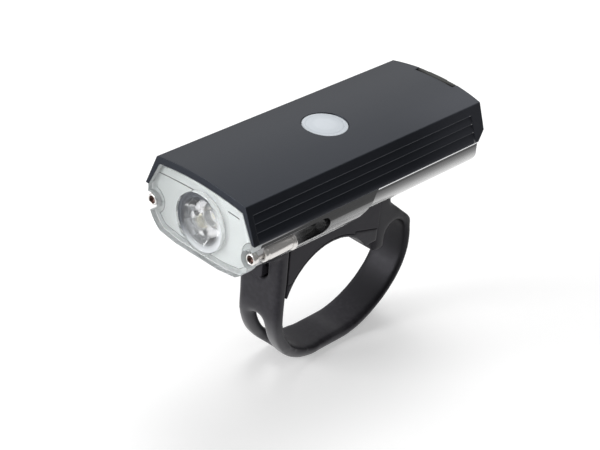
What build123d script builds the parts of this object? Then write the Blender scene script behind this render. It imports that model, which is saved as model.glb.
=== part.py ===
from build123d import *
import os

# Rechargeable bicycle headlight on a rubber-strap mount.
# Millimetres. X runs along the bore, the beam points along -Y, Z is up.
# The origin is on the bore's axis, on the lamp's middle plane.

# Fits and clearances
overrun = 5.0             # how far a cutting shape runs past what it cuts
slip = 0.15               # gap between pieces that only sit together
move_gap = 0.3            # gap between pieces of different moving bodies
glue_gap = 0.05           # glue line, thread or solder between fixed pieces

# Bore that the mount closes on, and the stack above it
bar_radius = 15.9         # for 31.8 mm
pad_thickness = 1.0
saddle_rise = 5.4         # saddle above its liner, on the centre line
plate_thickness = 2.0     # swivel plate under the front of the head
saddle_top = bar_radius + pad_thickness + saddle_rise
plate_foot = saddle_top + move_gap
head_floor = plate_foot + plate_thickness

# Lamp head
front_y = -40.4           # front rim, ahead of the bore's axis
head_length = 81.5        # front rim to the rear corners
rear_bow = 1.6            # how far the rear edge bulges at its middle
rear_y = front_y + head_length
head_height = 21.5        # underside to the top of the crown
crown_rise = 1.2
bevel_height = 8.7
skirt_half = 18.4         # half width at the foot of the bevels
bevel_run = 3.6           # how far each bevel leans in on its way up
shoulder_half = skirt_half - bevel_run
crown_z = head_floor + head_height
shoulder_z = crown_z - crown_rise
skirt_z = shoulder_z - bevel_height

# Top shell
roof_wall = 1.8
bevel_wall = 0.95
shoulder_wall = 0.75
shoulder_rounding = 0.4
rib_count = 3
rib_pitch = 2.15          # spacing of the ribs down the bevel
rib_band = 2.4            # smooth band above the first rib
rib_depth = 0.55
rib_front_margin = 1.6
rib_rear_margin = 3.6
notch_half = 6.3          # finger notch in the rear edge of the roof
notch_depth = 2.0
corner_cut = 2.6          # cut-off rear corners of the skirt, seen from the side
corner_cut_slope = 0.8

# Lower casings
skirt_lap = 0.9           # the shell's skirt stands this far outside the casings
tub_half = skirt_half - skirt_lap
waist_drop = 2.6          # straight part of the sides below the skirt
flank_run = 4.6           # how far the flanks curve in to the floor's corners
floor_half = tub_half - flank_run
floor_fall_run = 5.7      # sloping margin of the floor
floor_flat_half = floor_half - floor_fall_run
floor_corner_rise = 0.8
tub_wall = 1.4
upstand_rise = 1.1        # the casing walls rise this far inside the shell
upstand_wall = 1.0
upstand_inset = 0.9       # inside the casings' flanks
upstand_half = tub_half - upstand_inset
cover_inset = 0.4         # the battery cover is this much narrower on each side
cover_step = 1.6          # and this much shallower than the front casing
cover_rounding = 3.0      # seen from the side
cover_corner_rounding = 1.2  # seen from above
cover_rear_margin = 0.4   # the cover stops this short of the rear corners
seam_foot_y = -1.9        # curved seam between the casings, seen from the side
seam_top_y = 3.3
seam_gap = 0.2
seam_height_shares = (0.0, 0.39, 0.60, 0.76, 1.0)
seam_reach_shares = (0.0, 0.06, 0.42, 0.56, 1.0)

# Front window, side screws and their sleeves
window_thickness = 3.0
channel_inset = 0.8       # axis of the side channels inside the casing's flanks
channel_half = tub_half - channel_inset
channel_drop_share = 0.37  # depth of the channels' axis below the shell, of the casing's height
channel_z = skirt_z - channel_drop_share * (skirt_z - head_floor)
channel_radius = 2.4
channel_lining = 1.1
channel_length = 26.3
sleeve_radius = 1.9
sleeve_length = 9.8
sleeve_ring_length = 0.9
screw_radius = 1.0
side_screw_length = 10.0
side_head_radius = 1.5
side_head_height = 1.6
side_head_inset = 0.6     # front of the screw head behind the window's face
socket_radius = 0.7       # hexagon sockets of the screws
socket_depth = 0.8
ear_thickness = 1.8

# Optics
lens_margin = 3.25        # the lens is this much smaller than half the head's height
lens_radius = head_height / 2 - lens_margin
lens_foot_gap = 1.6       # lens above the underside of the head
lens_z = head_floor + lens_foot_gap + lens_radius
lens_inset = 0.5
lens_rim = 1.0
lens_length = 9.2
lens_back_radius = 3.4
lens_flange = 1.4         # rim of the lens beyond its waist
lens_waist_radius = lens_radius - lens_flange
lens_cavity_radius = 1.9
lens_cavity_depth = 2.4
bezel_thickness = 1.2
seal_wall = 1.1           # rubber ring behind the lens's rim
holder_wall = 0.7
led_half = 1.75
led_base = 0.8
led_dome_radius = 1.4
board_thickness = 1.6
board_foot_gap = 1.2      # board above the casing's floor, and below the roof
board_top_gap = 1.9
sink_inset = 8.1          # sides of the heat sink inside the casing's flanks
sink_half = tub_half - sink_inset
board_inset = 0.4         # and of the board inside the sink's
board_half = sink_half - board_inset
sink_length = 6.4
sink_top_gap = 3.4
sink_foot_inset = 2.4
sink_foot_half = sink_half - sink_foot_inset
fin_gap = 1.5
fin_count = 5
fin_depth = 4.2

# Frame, battery and electronics
frame_thickness = 1.2
frame_gap = 0.3           # frame inside the upstands
frame_half = upstand_half - upstand_wall - frame_gap
board_depth = 4.7         # top of the circuit board below the inside of the roof
frame_margin = 2.6        # frame beyond the screws' axes
post_radius = 2.2         # posts of the four screws that close the head
post_front_reach = 21.8   # their axes behind the front rim and ahead of the rear corners
post_rear_reach = 6.7
post_front_y = front_y + post_front_reach
post_rear_y = rear_y - post_rear_reach
shank_radius = 0.9
cover_head_radius = 1.7
cover_head_height = 1.3
cover_head_inset = 0.5
cover_screw_grip = 4.5    # depth of the threads inside the shell's bosses
cover_screw_end = 0.5     # thread left free beyond the screws' ends
boss_bite = 0.7           # how far a boss runs into the roof
pcb_thickness = 1.0
pcb_standoff = 0.6
pcb_inset = 2.8           # board inside the frame's edges
pcb_half = frame_half - pcb_inset
pcb_front_gap = 2.7       # board behind the front posts' axes
pcb_rear_gap = 2.6        # board's shoulders ahead of the rear posts' axes
pcb_front_y = post_front_y + pcb_front_gap
pcb_shoulder_y = post_rear_y - pcb_rear_gap
peg_radius = 0.8
peg_collar_radius = 1.6
peg_tip = 0.4
peg_inset = 1.9           # pegs inside the board's edges
peg_front_reach = 11.9    # and behind its front edge
peg_rear_reach = 3.3
peg_x = pcb_half - peg_inset
peg_front_y = pcb_front_y + peg_front_reach
peg_rear_y = pcb_shoulder_y - peg_rear_reach
battery_inset = 5.5       # battery inside the casing's flanks
battery_half = tub_half - battery_inset
battery_front_gap = 4.8   # battery behind and ahead of the posts' axes
battery_rear_gap = 3.0
battery_front_y = post_front_y + battery_front_gap
battery_rear_y = post_rear_y - battery_rear_gap
battery_lift = 0.65       # battery above the cover's floor
battery_rounding = 1.2
foam_height = 0.85
foam_half = 8.5
foam_length = 18.0
foam_rear_gap = 1.4       # foam ahead of the battery's rear end
protection_half = 9.0
protection_margin = 1.8   # protection board inside the battery's end, above and below
protection_thickness = 1.1
wire_radius = 0.55
wire_pitch = 1.6
wire_x = 3.4              # middle of each pair of wires, left and right
wire_post_gap = 0.3       # risers behind the front posts' axes
wire_board_gap = 1.9      # upper wires above the circuit board
wire_bend = 1.6
slot_half = 1.9
slot_reach = 1.2
connector_half = 2.6
connector_length = 4.2
connector_height = 3.0
connector_margin = 1.4    # connector behind the board's front edge
chip_half = 2.2
chip_height = 0.9
chip_inset = 3.9          # chip and coil inside the board's edges
chip_reach = 9.25         # and behind the button
coil_half = 2.6
coil_height = 2.4
coil_corner = 0.8
coil_reach = 10.45

# Power button, its switch and light
button_radius = 5.7
button_clearance = 0.15
button_dome = 0.35
button_proud = 0.1
button_flange_radius = 6.5
button_flange = 0.8
button_travel = 0.5
button_stem_radius = 1.6
flange_drop = 0.6         # flange below the inside of the roof
retainer_wall = 1.1
retainer_gap = 2.75       # button's cup behind the battery's connector
retainer_floor = 0.8
retainer_foot_radius = 0.9
switch_half = 2.6
switch_height = 1.6
plunger_radius = 1.4
plunger_length = 1.4
plunger_rise = 0.6
running = 0.07            # gap of a shaft that turns or slides in a bore
light_half = 0.8
light_depth = 0.5
light_height = 0.7
light_gap = 1.2           # between the switch and the light

# Charging socket, rear cap and its rubber cover
usb_half = 4.5
tongue_margin = 2.1       # the board's tongue beside the socket
tongue_half = usb_half + tongue_margin
post_gap = 0.4            # posts beside the tongue
post_x = tongue_half + post_gap + post_radius
usb_height = 3.2
usb_length = 7.3
usb_shell_wall = 0.4
usb_tongue = 0.7
usb_tongue_half = 3.0
usb_floor = 0.9           # closed front end of the socket
usb_inset = 1.1           # socket's mouth inside the flap's seat
seat_inset = 1.7          # flap's seat ahead of the rear corners
seat_wall = 1.8
port_half = 5.0
port_height = 3.8
flap_half = 6.8
flap_thickness = 1.7
flap_rise = 1.0           # foot of the flap above the frame's underside
flap_height = 5.6
plug_depth = 1.0
plug_half = 4.3
plug_height = 2.4
lip_half = 6.0
lip_thickness = 1.5
lip_height = 3.6
lip_drop = 0.25           # lip below the crown of the shell

# Mount
saddle_half = 6.8
saddle_front_inset = 0.4  # front face behind the bore's front
saddle_rear_reach = 0.9   # rear face behind the bore's back
saddle_cover = 6.5        # how far the saddle comes down over the bore
saddle_front_y = saddle_front_inset - bar_radius
saddle_rear_y = bar_radius + saddle_rear_reach
saddle_foot_z = bar_radius - saddle_cover
pad_wedge_length = 8.8
pad_wedge_front_y = saddle_rear_y - pad_wedge_length
pad_wedge_rise = 3.9      # depth of the liner's wedge at the rear face
pad_wedge_lip_rise = 6.3  # height of its front lip above the foot
pad_half = 6.8
pad_toe_drop = 4.5        # toe of the liner, below the front of the saddle
pad_toe_depth = 3.2
swivel_radius = 5.0
swivel_drop = 2.7
plate_half = 6.4
plate_reach = 14.0        # ends of the plate, ahead of and behind the swivel
plate_front_y = -plate_reach
plate_rear_y = plate_reach
plate_screw_reach = 10.0  # plate screws, ahead of and behind the swivel
plate_head_radius = 1.8
plate_head_height = 1.1
plate_head_inset = 0.2
plate_shank_length = 3.9
swivel_screw_radius = 1.45
swivel_head_radius = 2.7
swivel_head_height = 1.4
swivel_head_lift = 0.4    # screw head above the bore
washer_thickness = 0.25
washer_radius = 2.9
nut_half = 2.75           # half across the flats
nut_height = 2.4
nut_drop = 0.3            # nut below the top of the plate
hex_sides = 6
hook_half = 2.1
hook_lift = 0.9           # hook above the foot of the saddle
hook_foot_z = saddle_foot_z + hook_lift
hook_height = 3.5
hook_lip_rise = 0.9
hook_lip = 1.1

# Rubber strap
strap_thickness = 2.8
strap_half = 6.8
strap_rear_half = 5.4
tab_drop = 2.3            # top of the pull tab below the top of the saddle
strap_top_z = saddle_top - tab_drop
loop_reach = 15.5         # outside of the rear loop, behind the bore
strap_rear_y = bar_radius + loop_reach
strap_rear_thickness = 2.0
root_drop = 0.4           # root below the top of the saddle
root_top_z = saddle_top - root_drop
root_length = 6.0
root_step = 3.9
shoulder_drop = 6.6       # sloping shoulder of the rear loop
shoulder_run = 7.2
arch_radius = 4.3
arch_z = 7.0
crest_rounding = 1.4
leg_foot_z = 4.5
tenon_half = 4.6
tenon_length = 6.2
tenon_lift = 0.4          # tenon above the bore
tenon_foot_z = bar_radius + tenon_lift
tenon_height = 3.1
pin_radius = 1.0
pin_inset = 3.2
pin_cover = 1.2           # saddle wall left over the pin's blind end
tail_taper_share = -0.588  # where the tail narrows, of the strap's outer radius
tab_length = 4.4
tab_thickness = 1.6
hole_half = 2.6
hole_drop = 0.5           # foot of the hole below the foot of the hook
hole_length = 7.6
hole_foot_z = hook_foot_z - hole_drop
hole_top_z = hole_foot_z + hole_length
slot_width = 4.5
slot_top_share = -0.075   # top and foot of the long slot, of the strap's outer radius
slot_foot_share = -0.77

roof_inner_z = crown_z - roof_wall
beam = Axis((0, 0, lens_z), (0, 1, 0))
inner_shoulder_half = shoulder_half - shoulder_wall
inner_shoulder_z = shoulder_z - roof_wall
inner_skirt_half = skirt_half - bevel_wall
pcb_top_z = roof_inner_z - board_depth
pcb_z = pcb_top_z - pcb_thickness
frame_top_z = pcb_z - pcb_standoff
frame_z = frame_top_z - frame_thickness
strap_outer = bar_radius + strap_thickness
slot_top_z = slot_top_share * strap_outer
slot_foot_z = slot_foot_share * strap_outer
tail_taper_z = tail_taper_share * strap_outer
casing_front_y = front_y + window_thickness + slip / 2
cover_rear_y = rear_y - cover_rear_margin
cover_floor_z = head_floor + cover_step
front_posts = [(-post_x, post_front_y), (post_x, post_front_y)]
rear_posts = [(-post_x, post_rear_y), (post_x, post_rear_y)]
posts = front_posts + rear_posts
bezel_rear_y = casing_front_y + bezel_thickness
lens_front_y = front_y + lens_inset
lens_rear_y = lens_front_y + lens_length
board_front_y = lens_rear_y + slip + led_base + glue_gap
battery_foot_z = cover_floor_z + tub_wall + battery_lift
battery_height = frame_z - 2 * glue_gap - foam_height - battery_foot_z
wire_rise_y = post_front_y + wire_post_gap
wire_low_z = battery_foot_z + battery_height / 2
wire_high_z = pcb_top_z + wire_board_gap
connector_front_y = pcb_front_y + connector_margin
retainer_bore = button_flange_radius + move_gap
retainer_radius = retainer_bore + retainer_wall
button_y = connector_front_y + connector_length + retainer_gap + retainer_radius
cover_screw_top = frame_top_z + cover_screw_grip - cover_screw_end
plate_boss_z = battery_foot_z - slip
flange_top_z = roof_inner_z - flange_drop
retainer_z = flange_top_z - button_flange - button_travel - move_gap - retainer_floor
plunger_top_z = pcb_top_z + glue_gap + switch_height + plunger_rise
usb_z = pcb_top_z + glue_gap + usb_height / 2
seat_y = rear_y - seat_inset
flap_y = seat_y + move_gap
flap_foot_z = frame_z + flap_rise
hub_foot_z = plate_foot - swivel_drop

os.makedirs("parts", exist_ok=True)


def section_at(y):
    """A plane across the lamp at y: its own x runs along X, its y along Z."""
    return Plane(origin=(0, y, 0), x_dir=(1, 0, 0), z_dir=(0, -1, 0))


def side_at(x):
    """A plane along the lamp at x: its own x runs along Y, its y along Z."""
    return Plane.YZ.offset(x)


def save(piece, name):
    piece.part.label = name
    export_step(piece.part, f"parts/{name}.step")


def roof_outline(foot_half, foot_z, top_half, corner_z, rise):
    """Cross-section of the shell: two bevels under a crowned top."""
    with BuildSketch() as outline:
        with BuildLine():
            Polyline((-top_half, corner_z), (-foot_half, foot_z), (foot_half, foot_z), (top_half, corner_z))
            ThreePointArc((top_half, corner_z), (0, corner_z + rise), (-top_half, corner_z))
        make_face()
    return outline.sketch


def casing_outline(half, corner_half, floor_z, top_z):
    """Cross-section of a lower casing: straight flanks that curve in to the floor."""
    waist_z = skirt_z - waist_drop
    with BuildSketch() as outline:
        with BuildLine():
            Line((half, top_z), (half, waist_z))
            TangentArc((half, waist_z), (corner_half, floor_z + floor_corner_rise), tangent=(0, -1))
            Line((corner_half, floor_z + floor_corner_rise), (floor_flat_half, floor_z))
            Line((floor_flat_half, floor_z), (0, floor_z))
            mirror(about=Plane.YZ)
            Line((half, top_z), (-half, top_z))
        make_face()
    return outline.sketch


def seam_side(front, gap):
    """Side view of the space in front of, or behind, the curved seam."""
    points = []
    for height_share, reach_share in zip(seam_height_shares, seam_reach_shares):
        height = head_floor + height_share * (skirt_z - head_floor)
        reach = seam_foot_y + gap + reach_share * (seam_top_y - seam_foot_y)
        points.append((reach, height))
    far_y = front_y - overrun if front else rear_y + overrun
    low_z, high_z = head_floor - overrun, crown_z
    with BuildSketch() as outline:
        with BuildLine():
            Spline(*points)
            Polyline(points[0], (points[0][0], low_z), (far_y, low_z), (far_y, high_z),
                     (points[-1][0], high_z), points[-1])
        make_face()
    return outline.sketch


front_outer = casing_outline(tub_half, floor_half, head_floor, skirt_z)
front_open = casing_outline(tub_half, floor_half, head_floor, skirt_z + overrun)
cover_outer = casing_outline(tub_half - cover_inset, floor_half - cover_inset, cover_floor_z, skirt_z)
cover_open = casing_outline(tub_half - cover_inset, floor_half - cover_inset, cover_floor_z,
                            skirt_z + overrun)
shell_inside = roof_outline(inner_skirt_half, skirt_z, inner_shoulder_half, inner_shoulder_z, crown_rise)
channel_spots = [(-channel_half, channel_z), (channel_half, channel_z)]

# Top shell: one extruded roof with two ribbed bevels, screw bosses inside, a
# round hole for the button, a finger notch in the bowed rear edge and the lower
# rear corners cut off.
bevel_slope = (bevel_run**2 + bevel_height**2) ** 0.5
down_x, down_z = bevel_run / bevel_slope, -bevel_height / bevel_slope
rib_front_y = front_y + rib_front_margin
rib_rear_y = rear_y - rib_rear_margin
with BuildPart() as top_shell:
    with BuildSketch(section_at(rear_y + rear_bow)):
        add(roof_outline(skirt_half, skirt_z, shoulder_half, shoulder_z, crown_rise))
    extrude(amount=head_length + rear_bow)
    shoulders = top_shell.edges().filter_by(Axis.Y).sort_by(Axis.Z)[-2:]
    fillet(shoulders, radius=shoulder_rounding)
    with BuildSketch(Plane.XY.offset(skirt_z)):
        with BuildLine():
            Polyline((-skirt_half, rear_y), (-skirt_half, front_y), (skirt_half, front_y),
                     (skirt_half, rear_y))
            ThreePointArc((skirt_half, rear_y), (0, rear_y + rear_bow), (-skirt_half, rear_y))
        make_face()
    extrude(amount=crown_z - skirt_z + overrun, mode=Mode.INTERSECT)
    with BuildSketch(section_at(rib_rear_y)):
        for rib in range(rib_count):
            upper = rib_band + rib * rib_pitch
            lower = upper + rib_pitch
            start = (shoulder_half + upper * down_x, shoulder_z + upper * down_z)
            deep = (start[0] + rib_depth * down_z, start[1] - rib_depth * down_x)
            end = (shoulder_half + lower * down_x, shoulder_z + lower * down_z)
            with BuildLine():
                Polyline(start, deep, end, close=True)
            make_face()
        mirror(about=Plane.YZ)
    extrude(amount=rib_rear_y - rib_front_y, mode=Mode.SUBTRACT)
    with BuildSketch(section_at(rear_y + overrun)):
        add(shell_inside)
        with Locations((0, skirt_z)):
            Rectangle(2 * inner_skirt_half, overrun, align=(Align.CENTER, Align.MAX))
    extrude(amount=head_length + 2 * overrun, mode=Mode.SUBTRACT)
    with BuildSketch(Plane.XY.offset(frame_top_z + glue_gap)):
        with Locations(*posts):
            Circle(post_radius)
    extrude(amount=inner_shoulder_z + boss_bite - frame_top_z)
    with BuildSketch(Plane.XY.offset(frame_top_z)):
        with Locations(*posts):
            Circle(shank_radius + glue_gap)
    extrude(amount=cover_screw_grip, mode=Mode.SUBTRACT)
    with BuildSketch(Plane.XY.offset(inner_shoulder_z - overrun)):
        with Locations((0, button_y)):
            Circle(button_radius + button_clearance)
    extrude(amount=2 * overrun + roof_wall, mode=Mode.SUBTRACT)
    with BuildSketch(Plane.XY.offset(inner_shoulder_z - roof_wall)):
        with Locations((0, rear_y + rear_bow + overrun - notch_depth)):
            Rectangle(2 * notch_half, 2 * overrun)
    extrude(amount=2 * overrun, mode=Mode.SUBTRACT)
    with BuildSketch(side_at(-skirt_half)):
        with BuildLine():
            Polyline((rear_y - corner_cut, skirt_z), (rear_y + rear_bow, skirt_z),
                     (rear_y + rear_bow, skirt_z + corner_cut_slope * (corner_cut + rear_bow)), close=True)
        make_face()
    extrude(amount=2 * skirt_half, mode=Mode.SUBTRACT)
save(top_shell, "top_shell")

# Front casing: the tub under the front half of the shell. Each flank has an
# open side channel for a screw sleeve, closed in front by an ear.
ear_front_y = front_y + side_head_inset + side_head_height
ear_rear_y = ear_front_y + ear_thickness
channel_end_y = front_y + channel_length
with BuildPart() as front_casing:
    with BuildSketch(section_at(seam_top_y + overrun)):
        add(front_outer)
    extrude(amount=seam_top_y + overrun - casing_front_y)
    with BuildSketch(section_at(seam_top_y + overrun)):
        add(front_open)
        offset(amount=-tub_wall, mode=Mode.REPLACE)
    extrude(amount=seam_top_y + 2 * overrun - casing_front_y, mode=Mode.SUBTRACT)
    with BuildSketch(Plane.XY.offset(skirt_z - tub_wall)):
        for side in (-1, 1):
            with Locations((side * upstand_half, bezel_rear_y + slip)):
                Rectangle(upstand_wall, seam_top_y - seam_gap - bezel_rear_y,
                          align=(Align.MAX if side > 0 else Align.MIN, Align.MIN))
    extrude(amount=tub_wall + upstand_rise)
    with BuildSketch(section_at(channel_end_y + channel_lining)):
        with Locations(*channel_spots):
            Circle(channel_radius + channel_lining)
        add(front_outer, mode=Mode.INTERSECT)
    extrude(amount=channel_end_y + channel_lining - casing_front_y)
    with BuildSketch(section_at(channel_end_y - channel_radius)):
        with Locations(*channel_spots):
            Circle(channel_radius)
    extrude(amount=channel_length, mode=Mode.SUBTRACT)
    with Locations(*[(x, channel_end_y - channel_radius, z) for x, z in channel_spots]):
        Sphere(channel_radius, mode=Mode.SUBTRACT)
    with BuildSketch(section_at(ear_rear_y)):
        with Locations(*channel_spots):
            Circle(channel_radius + channel_lining)
        add(front_outer, mode=Mode.INTERSECT)
    extrude(amount=ear_rear_y - casing_front_y)
    with BuildSketch(section_at(casing_front_y)):
        with Locations(*channel_spots):
            Circle(channel_radius - slip)
        add(front_outer, mode=Mode.INTERSECT)
    extrude(amount=casing_front_y - ear_front_y)
    with BuildSketch(section_at(ear_rear_y + overrun)):
        with Locations(*channel_spots):
            Circle(screw_radius + glue_gap)
    extrude(amount=ear_thickness + 2 * overrun, mode=Mode.SUBTRACT)
    with BuildSketch(Plane.XY.offset(head_floor)):
        with Locations(*front_posts):
            Circle(post_radius)
    extrude(amount=frame_z - glue_gap - head_floor)
    with BuildSketch(Plane.XY.offset(head_floor)):
        with Locations((0, -plate_screw_reach)):
            Circle(post_radius)
    extrude(amount=plate_boss_z - head_floor)
    with BuildSketch(side_at(-skirt_half)):
        add(seam_side(front=True, gap=0))
    extrude(amount=2 * skirt_half, mode=Mode.INTERSECT)
    with BuildSketch(Plane.XY.offset(head_floor - overrun)):
        with Locations(*front_posts):
            Circle(shank_radius + glue_gap)
        with Locations((0, -plate_screw_reach)):
            Circle(screw_radius + glue_gap)
    extrude(amount=2 * head_height, mode=Mode.SUBTRACT)
    with BuildSketch(Plane.XY.offset(head_floor + cover_head_inset + cover_head_height)):
        with Locations(*front_posts):
            Circle(cover_head_radius + slip)
    extrude(amount=-head_height, mode=Mode.SUBTRACT)
save(front_casing, "front_casing")

# Battery cover: the rounded rear casing, closed at the back.
cover_span = cover_rear_y - seam_foot_y + overrun
with BuildPart() as battery_cover:
    with BuildSketch(section_at(cover_rear_y)):
        add(cover_outer)
    extrude(amount=cover_span)
    with BuildSketch(side_at(-skirt_half)):
        with Locations((cover_rear_y, cover_floor_z)):
            RectangleRounded(2 * cover_span, 2 * head_height, cover_rounding, align=(Align.MAX, Align.MIN))
    extrude(amount=2 * skirt_half, mode=Mode.INTERSECT)
    with BuildSketch(Plane.XY.offset(cover_floor_z)):
        with Locations((0, cover_rear_y)):
            RectangleRounded(2 * (tub_half - cover_inset), 2 * cover_span, cover_corner_rounding,
                             align=(Align.CENTER, Align.MAX))
    extrude(amount=head_height, mode=Mode.INTERSECT)
    with BuildSketch(section_at(cover_rear_y - tub_wall)):
        add(cover_open)
        offset(amount=-tub_wall, mode=Mode.REPLACE)
    extrude(amount=cover_span, mode=Mode.SUBTRACT)
    with BuildSketch(Plane.XY.offset(skirt_z - tub_wall)):
        for side in (-1, 1):
            with Locations((side * upstand_half, seam_top_y + seam_gap)):
                Rectangle(upstand_wall, post_rear_y - seam_top_y,
                          align=(Align.MAX if side > 0 else Align.MIN, Align.MIN))
    extrude(amount=tub_wall + upstand_rise)
    with BuildSketch(Plane.XY.offset(cover_floor_z)):
        with Locations(*rear_posts):
            Circle(post_radius)
    extrude(amount=frame_z - glue_gap - cover_floor_z)
    with BuildSketch(Plane.XY.offset(cover_floor_z)):
        with Locations((0, plate_screw_reach)):
            Circle(post_radius)
    extrude(amount=plate_boss_z - cover_floor_z)
    with BuildSketch(side_at(-skirt_half)):
        add(seam_side(front=False, gap=seam_gap))
    extrude(amount=2 * skirt_half, mode=Mode.INTERSECT)
    with BuildSketch(Plane.XY.offset(head_floor)):
        with Locations(*rear_posts):
            Circle(shank_radius + glue_gap)
        with Locations((0, plate_screw_reach)):
            Circle(screw_radius + glue_gap)
    extrude(amount=head_height, mode=Mode.SUBTRACT)
    with BuildSketch(Plane.XY.offset(cover_floor_z + cover_head_inset + cover_head_height)):
        with Locations(*rear_posts):
            Circle(cover_head_radius + slip)
    extrude(amount=-head_height, mode=Mode.SUBTRACT)
save(battery_cover, "battery_cover")

# Front window: a thick clear plate, notched round the side screws.
window_top = roof_outline(inner_skirt_half - slip, skirt_z, inner_shoulder_half - slip,
                          inner_shoulder_z - slip, crown_rise)
with BuildPart() as front_window:
    with BuildSketch(section_at(front_y + window_thickness)):
        add(window_top)
        add(front_outer)
        with Locations(*channel_spots):
            Circle(channel_radius, mode=Mode.SUBTRACT)
        with Locations((0, lens_z)):
            Circle(lens_radius + slip, mode=Mode.SUBTRACT)
    extrude(amount=window_thickness)
save(front_window, "front_window")

# Front bezel: the pale plate behind the window, just inside the casings.
with BuildPart() as front_bezel:
    with BuildSketch(section_at(bezel_rear_y)):
        add(front_open)
        offset(amount=-(tub_wall + slip), mode=Mode.REPLACE)
        with Locations((0, skirt_z)):
            Rectangle(2 * skirt_half, head_height, align=(Align.CENTER, Align.MAX), mode=Mode.INTERSECT)
        add(window_top)
        with Locations(*channel_spots):
            Circle(channel_radius + channel_lining + slip, mode=Mode.SUBTRACT)
        with Locations((0, lens_z)):
            Circle(lens_waist_radius + slip, mode=Mode.SUBTRACT)
    extrude(amount=bezel_thickness)
save(front_bezel, "front_bezel")

# Lens: a turned collimator with a flat rim and a pocket for the light source.
with BuildPart() as lens:
    with BuildSketch(side_at(0)):
        with BuildLine():
            Polyline((lens_front_y, lens_z), (lens_front_y, lens_z + lens_radius),
                     (lens_front_y + lens_rim, lens_z + lens_radius),
                     (lens_front_y + lens_rim, lens_z + lens_waist_radius),
                     (lens_rear_y, lens_z + lens_back_radius),
                     (lens_rear_y, lens_z + lens_cavity_radius),
                     (lens_rear_y - lens_cavity_depth, lens_z + lens_cavity_radius),
                     (lens_rear_y - lens_cavity_depth, lens_z), close=True)
        make_face()
    revolve(axis=beam)
save(lens, "lens")

# Lens seal: a rubber ring between the lens's rim and the bezel.
seal_front_y = lens_front_y + lens_rim + glue_gap
with BuildPart() as lens_seal:
    with BuildSketch(section_at(casing_front_y - glue_gap)):
        with Locations((0, lens_z)):
            Circle(lens_waist_radius + seal_wall)
            Circle(lens_waist_radius + glue_gap, mode=Mode.SUBTRACT)
    extrude(amount=casing_front_y - glue_gap - seal_front_y)
save(lens_seal, "lens_seal")

# Lens holder: a hollow cone that follows the lens back to the board.
holder_front_y = bezel_rear_y + glue_gap
holder_rear_y = board_front_y - glue_gap
cone_fall = (lens_waist_radius - lens_back_radius) / (lens_length - lens_rim)
holder_front_radius = lens_back_radius + cone_fall * (lens_rear_y - holder_front_y) + slip
holder_rear_radius = lens_back_radius + slip
with BuildPart() as lens_holder:
    with BuildSketch(side_at(0)):
        with BuildLine():
            Polyline((holder_front_y, lens_z + holder_front_radius),
                     (lens_rear_y, lens_z + holder_rear_radius),
                     (holder_rear_y, lens_z + holder_rear_radius),
                     (holder_rear_y, lens_z + holder_rear_radius + 2 * holder_wall),
                     (lens_rear_y, lens_z + holder_rear_radius + holder_wall),
                     (holder_front_y + holder_wall, lens_z + holder_front_radius + holder_wall),
                     (holder_front_y + holder_wall, lens_z + holder_front_radius + 2 * holder_wall),
                     (holder_front_y, lens_z + holder_front_radius + 2 * holder_wall), close=True)
        make_face()
    revolve(axis=beam)
save(lens_holder, "lens_holder")

# Light source: a square base with a dome that looks into the lens.
led_front_y = holder_rear_y - led_base
with BuildPart() as led_chip:
    with Locations((0, led_front_y, lens_z)):
        Sphere(led_dome_radius)
        Box(2 * led_half, 2 * led_half, 2 * led_half, align=(Align.CENTER, Align.MIN, Align.CENTER),
            mode=Mode.SUBTRACT)
        Box(2 * led_half, led_base, 2 * led_half, align=(Align.CENTER, Align.MIN, Align.CENTER))
save(led_chip, "led_chip")

# Board that carries the light source, and the finned heat sink behind it.
board_foot_z = head_floor + tub_wall + board_foot_gap
with BuildPart() as led_board:
    with Locations((0, board_front_y, board_foot_z)):
        Box(2 * board_half, board_thickness, roof_inner_z - board_top_gap - board_foot_z,
            align=(Align.CENTER, Align.MIN, Align.MIN))
save(led_board, "led_board")

sink_front_y = board_front_y + board_thickness + glue_gap
sink_foot_z = head_floor + tub_wall + glue_gap
fin_pitch = 2 * sink_half / (fin_count + 1)
with BuildPart() as heat_sink:
    with Locations((0, sink_front_y, board_foot_z)):
        Box(2 * sink_half, sink_length, roof_inner_z - sink_top_gap - board_foot_z,
            align=(Align.CENTER, Align.MIN, Align.MIN))
    with Locations((0, sink_front_y, sink_foot_z)):
        Box(2 * sink_foot_half, sink_length, board_foot_z - sink_foot_z + overrun,
            align=(Align.CENTER, Align.MIN, Align.MIN))
    with BuildSketch(section_at(sink_front_y + sink_length)):
        with Locations((0, lens_z)):
            with GridLocations(fin_pitch, 0, fin_count, 1):
                Rectangle(fin_gap, 2 * head_height)
    extrude(amount=fin_depth, mode=Mode.SUBTRACT)
save(heat_sink, "heat_sink")

# Side screws with socket heads, and the bright sleeves they pull against.
side_head_y = ear_front_y - glue_gap
with BuildPart() as side_screws:
    with BuildSketch(section_at(side_head_y)):
        with Locations(*channel_spots):
            Circle(side_head_radius)
    extrude(amount=side_head_height)
    with BuildSketch(section_at(side_head_y + side_screw_length)):
        with Locations(*channel_spots):
            Circle(screw_radius)
    extrude(amount=side_screw_length)
    with BuildSketch(section_at(side_head_y - side_head_height + socket_depth)):
        with Locations(*channel_spots):
            RegularPolygon(radius=socket_radius, side_count=hex_sides)
    extrude(amount=socket_depth, mode=Mode.SUBTRACT)
save(side_screws, "side_screws")

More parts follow.
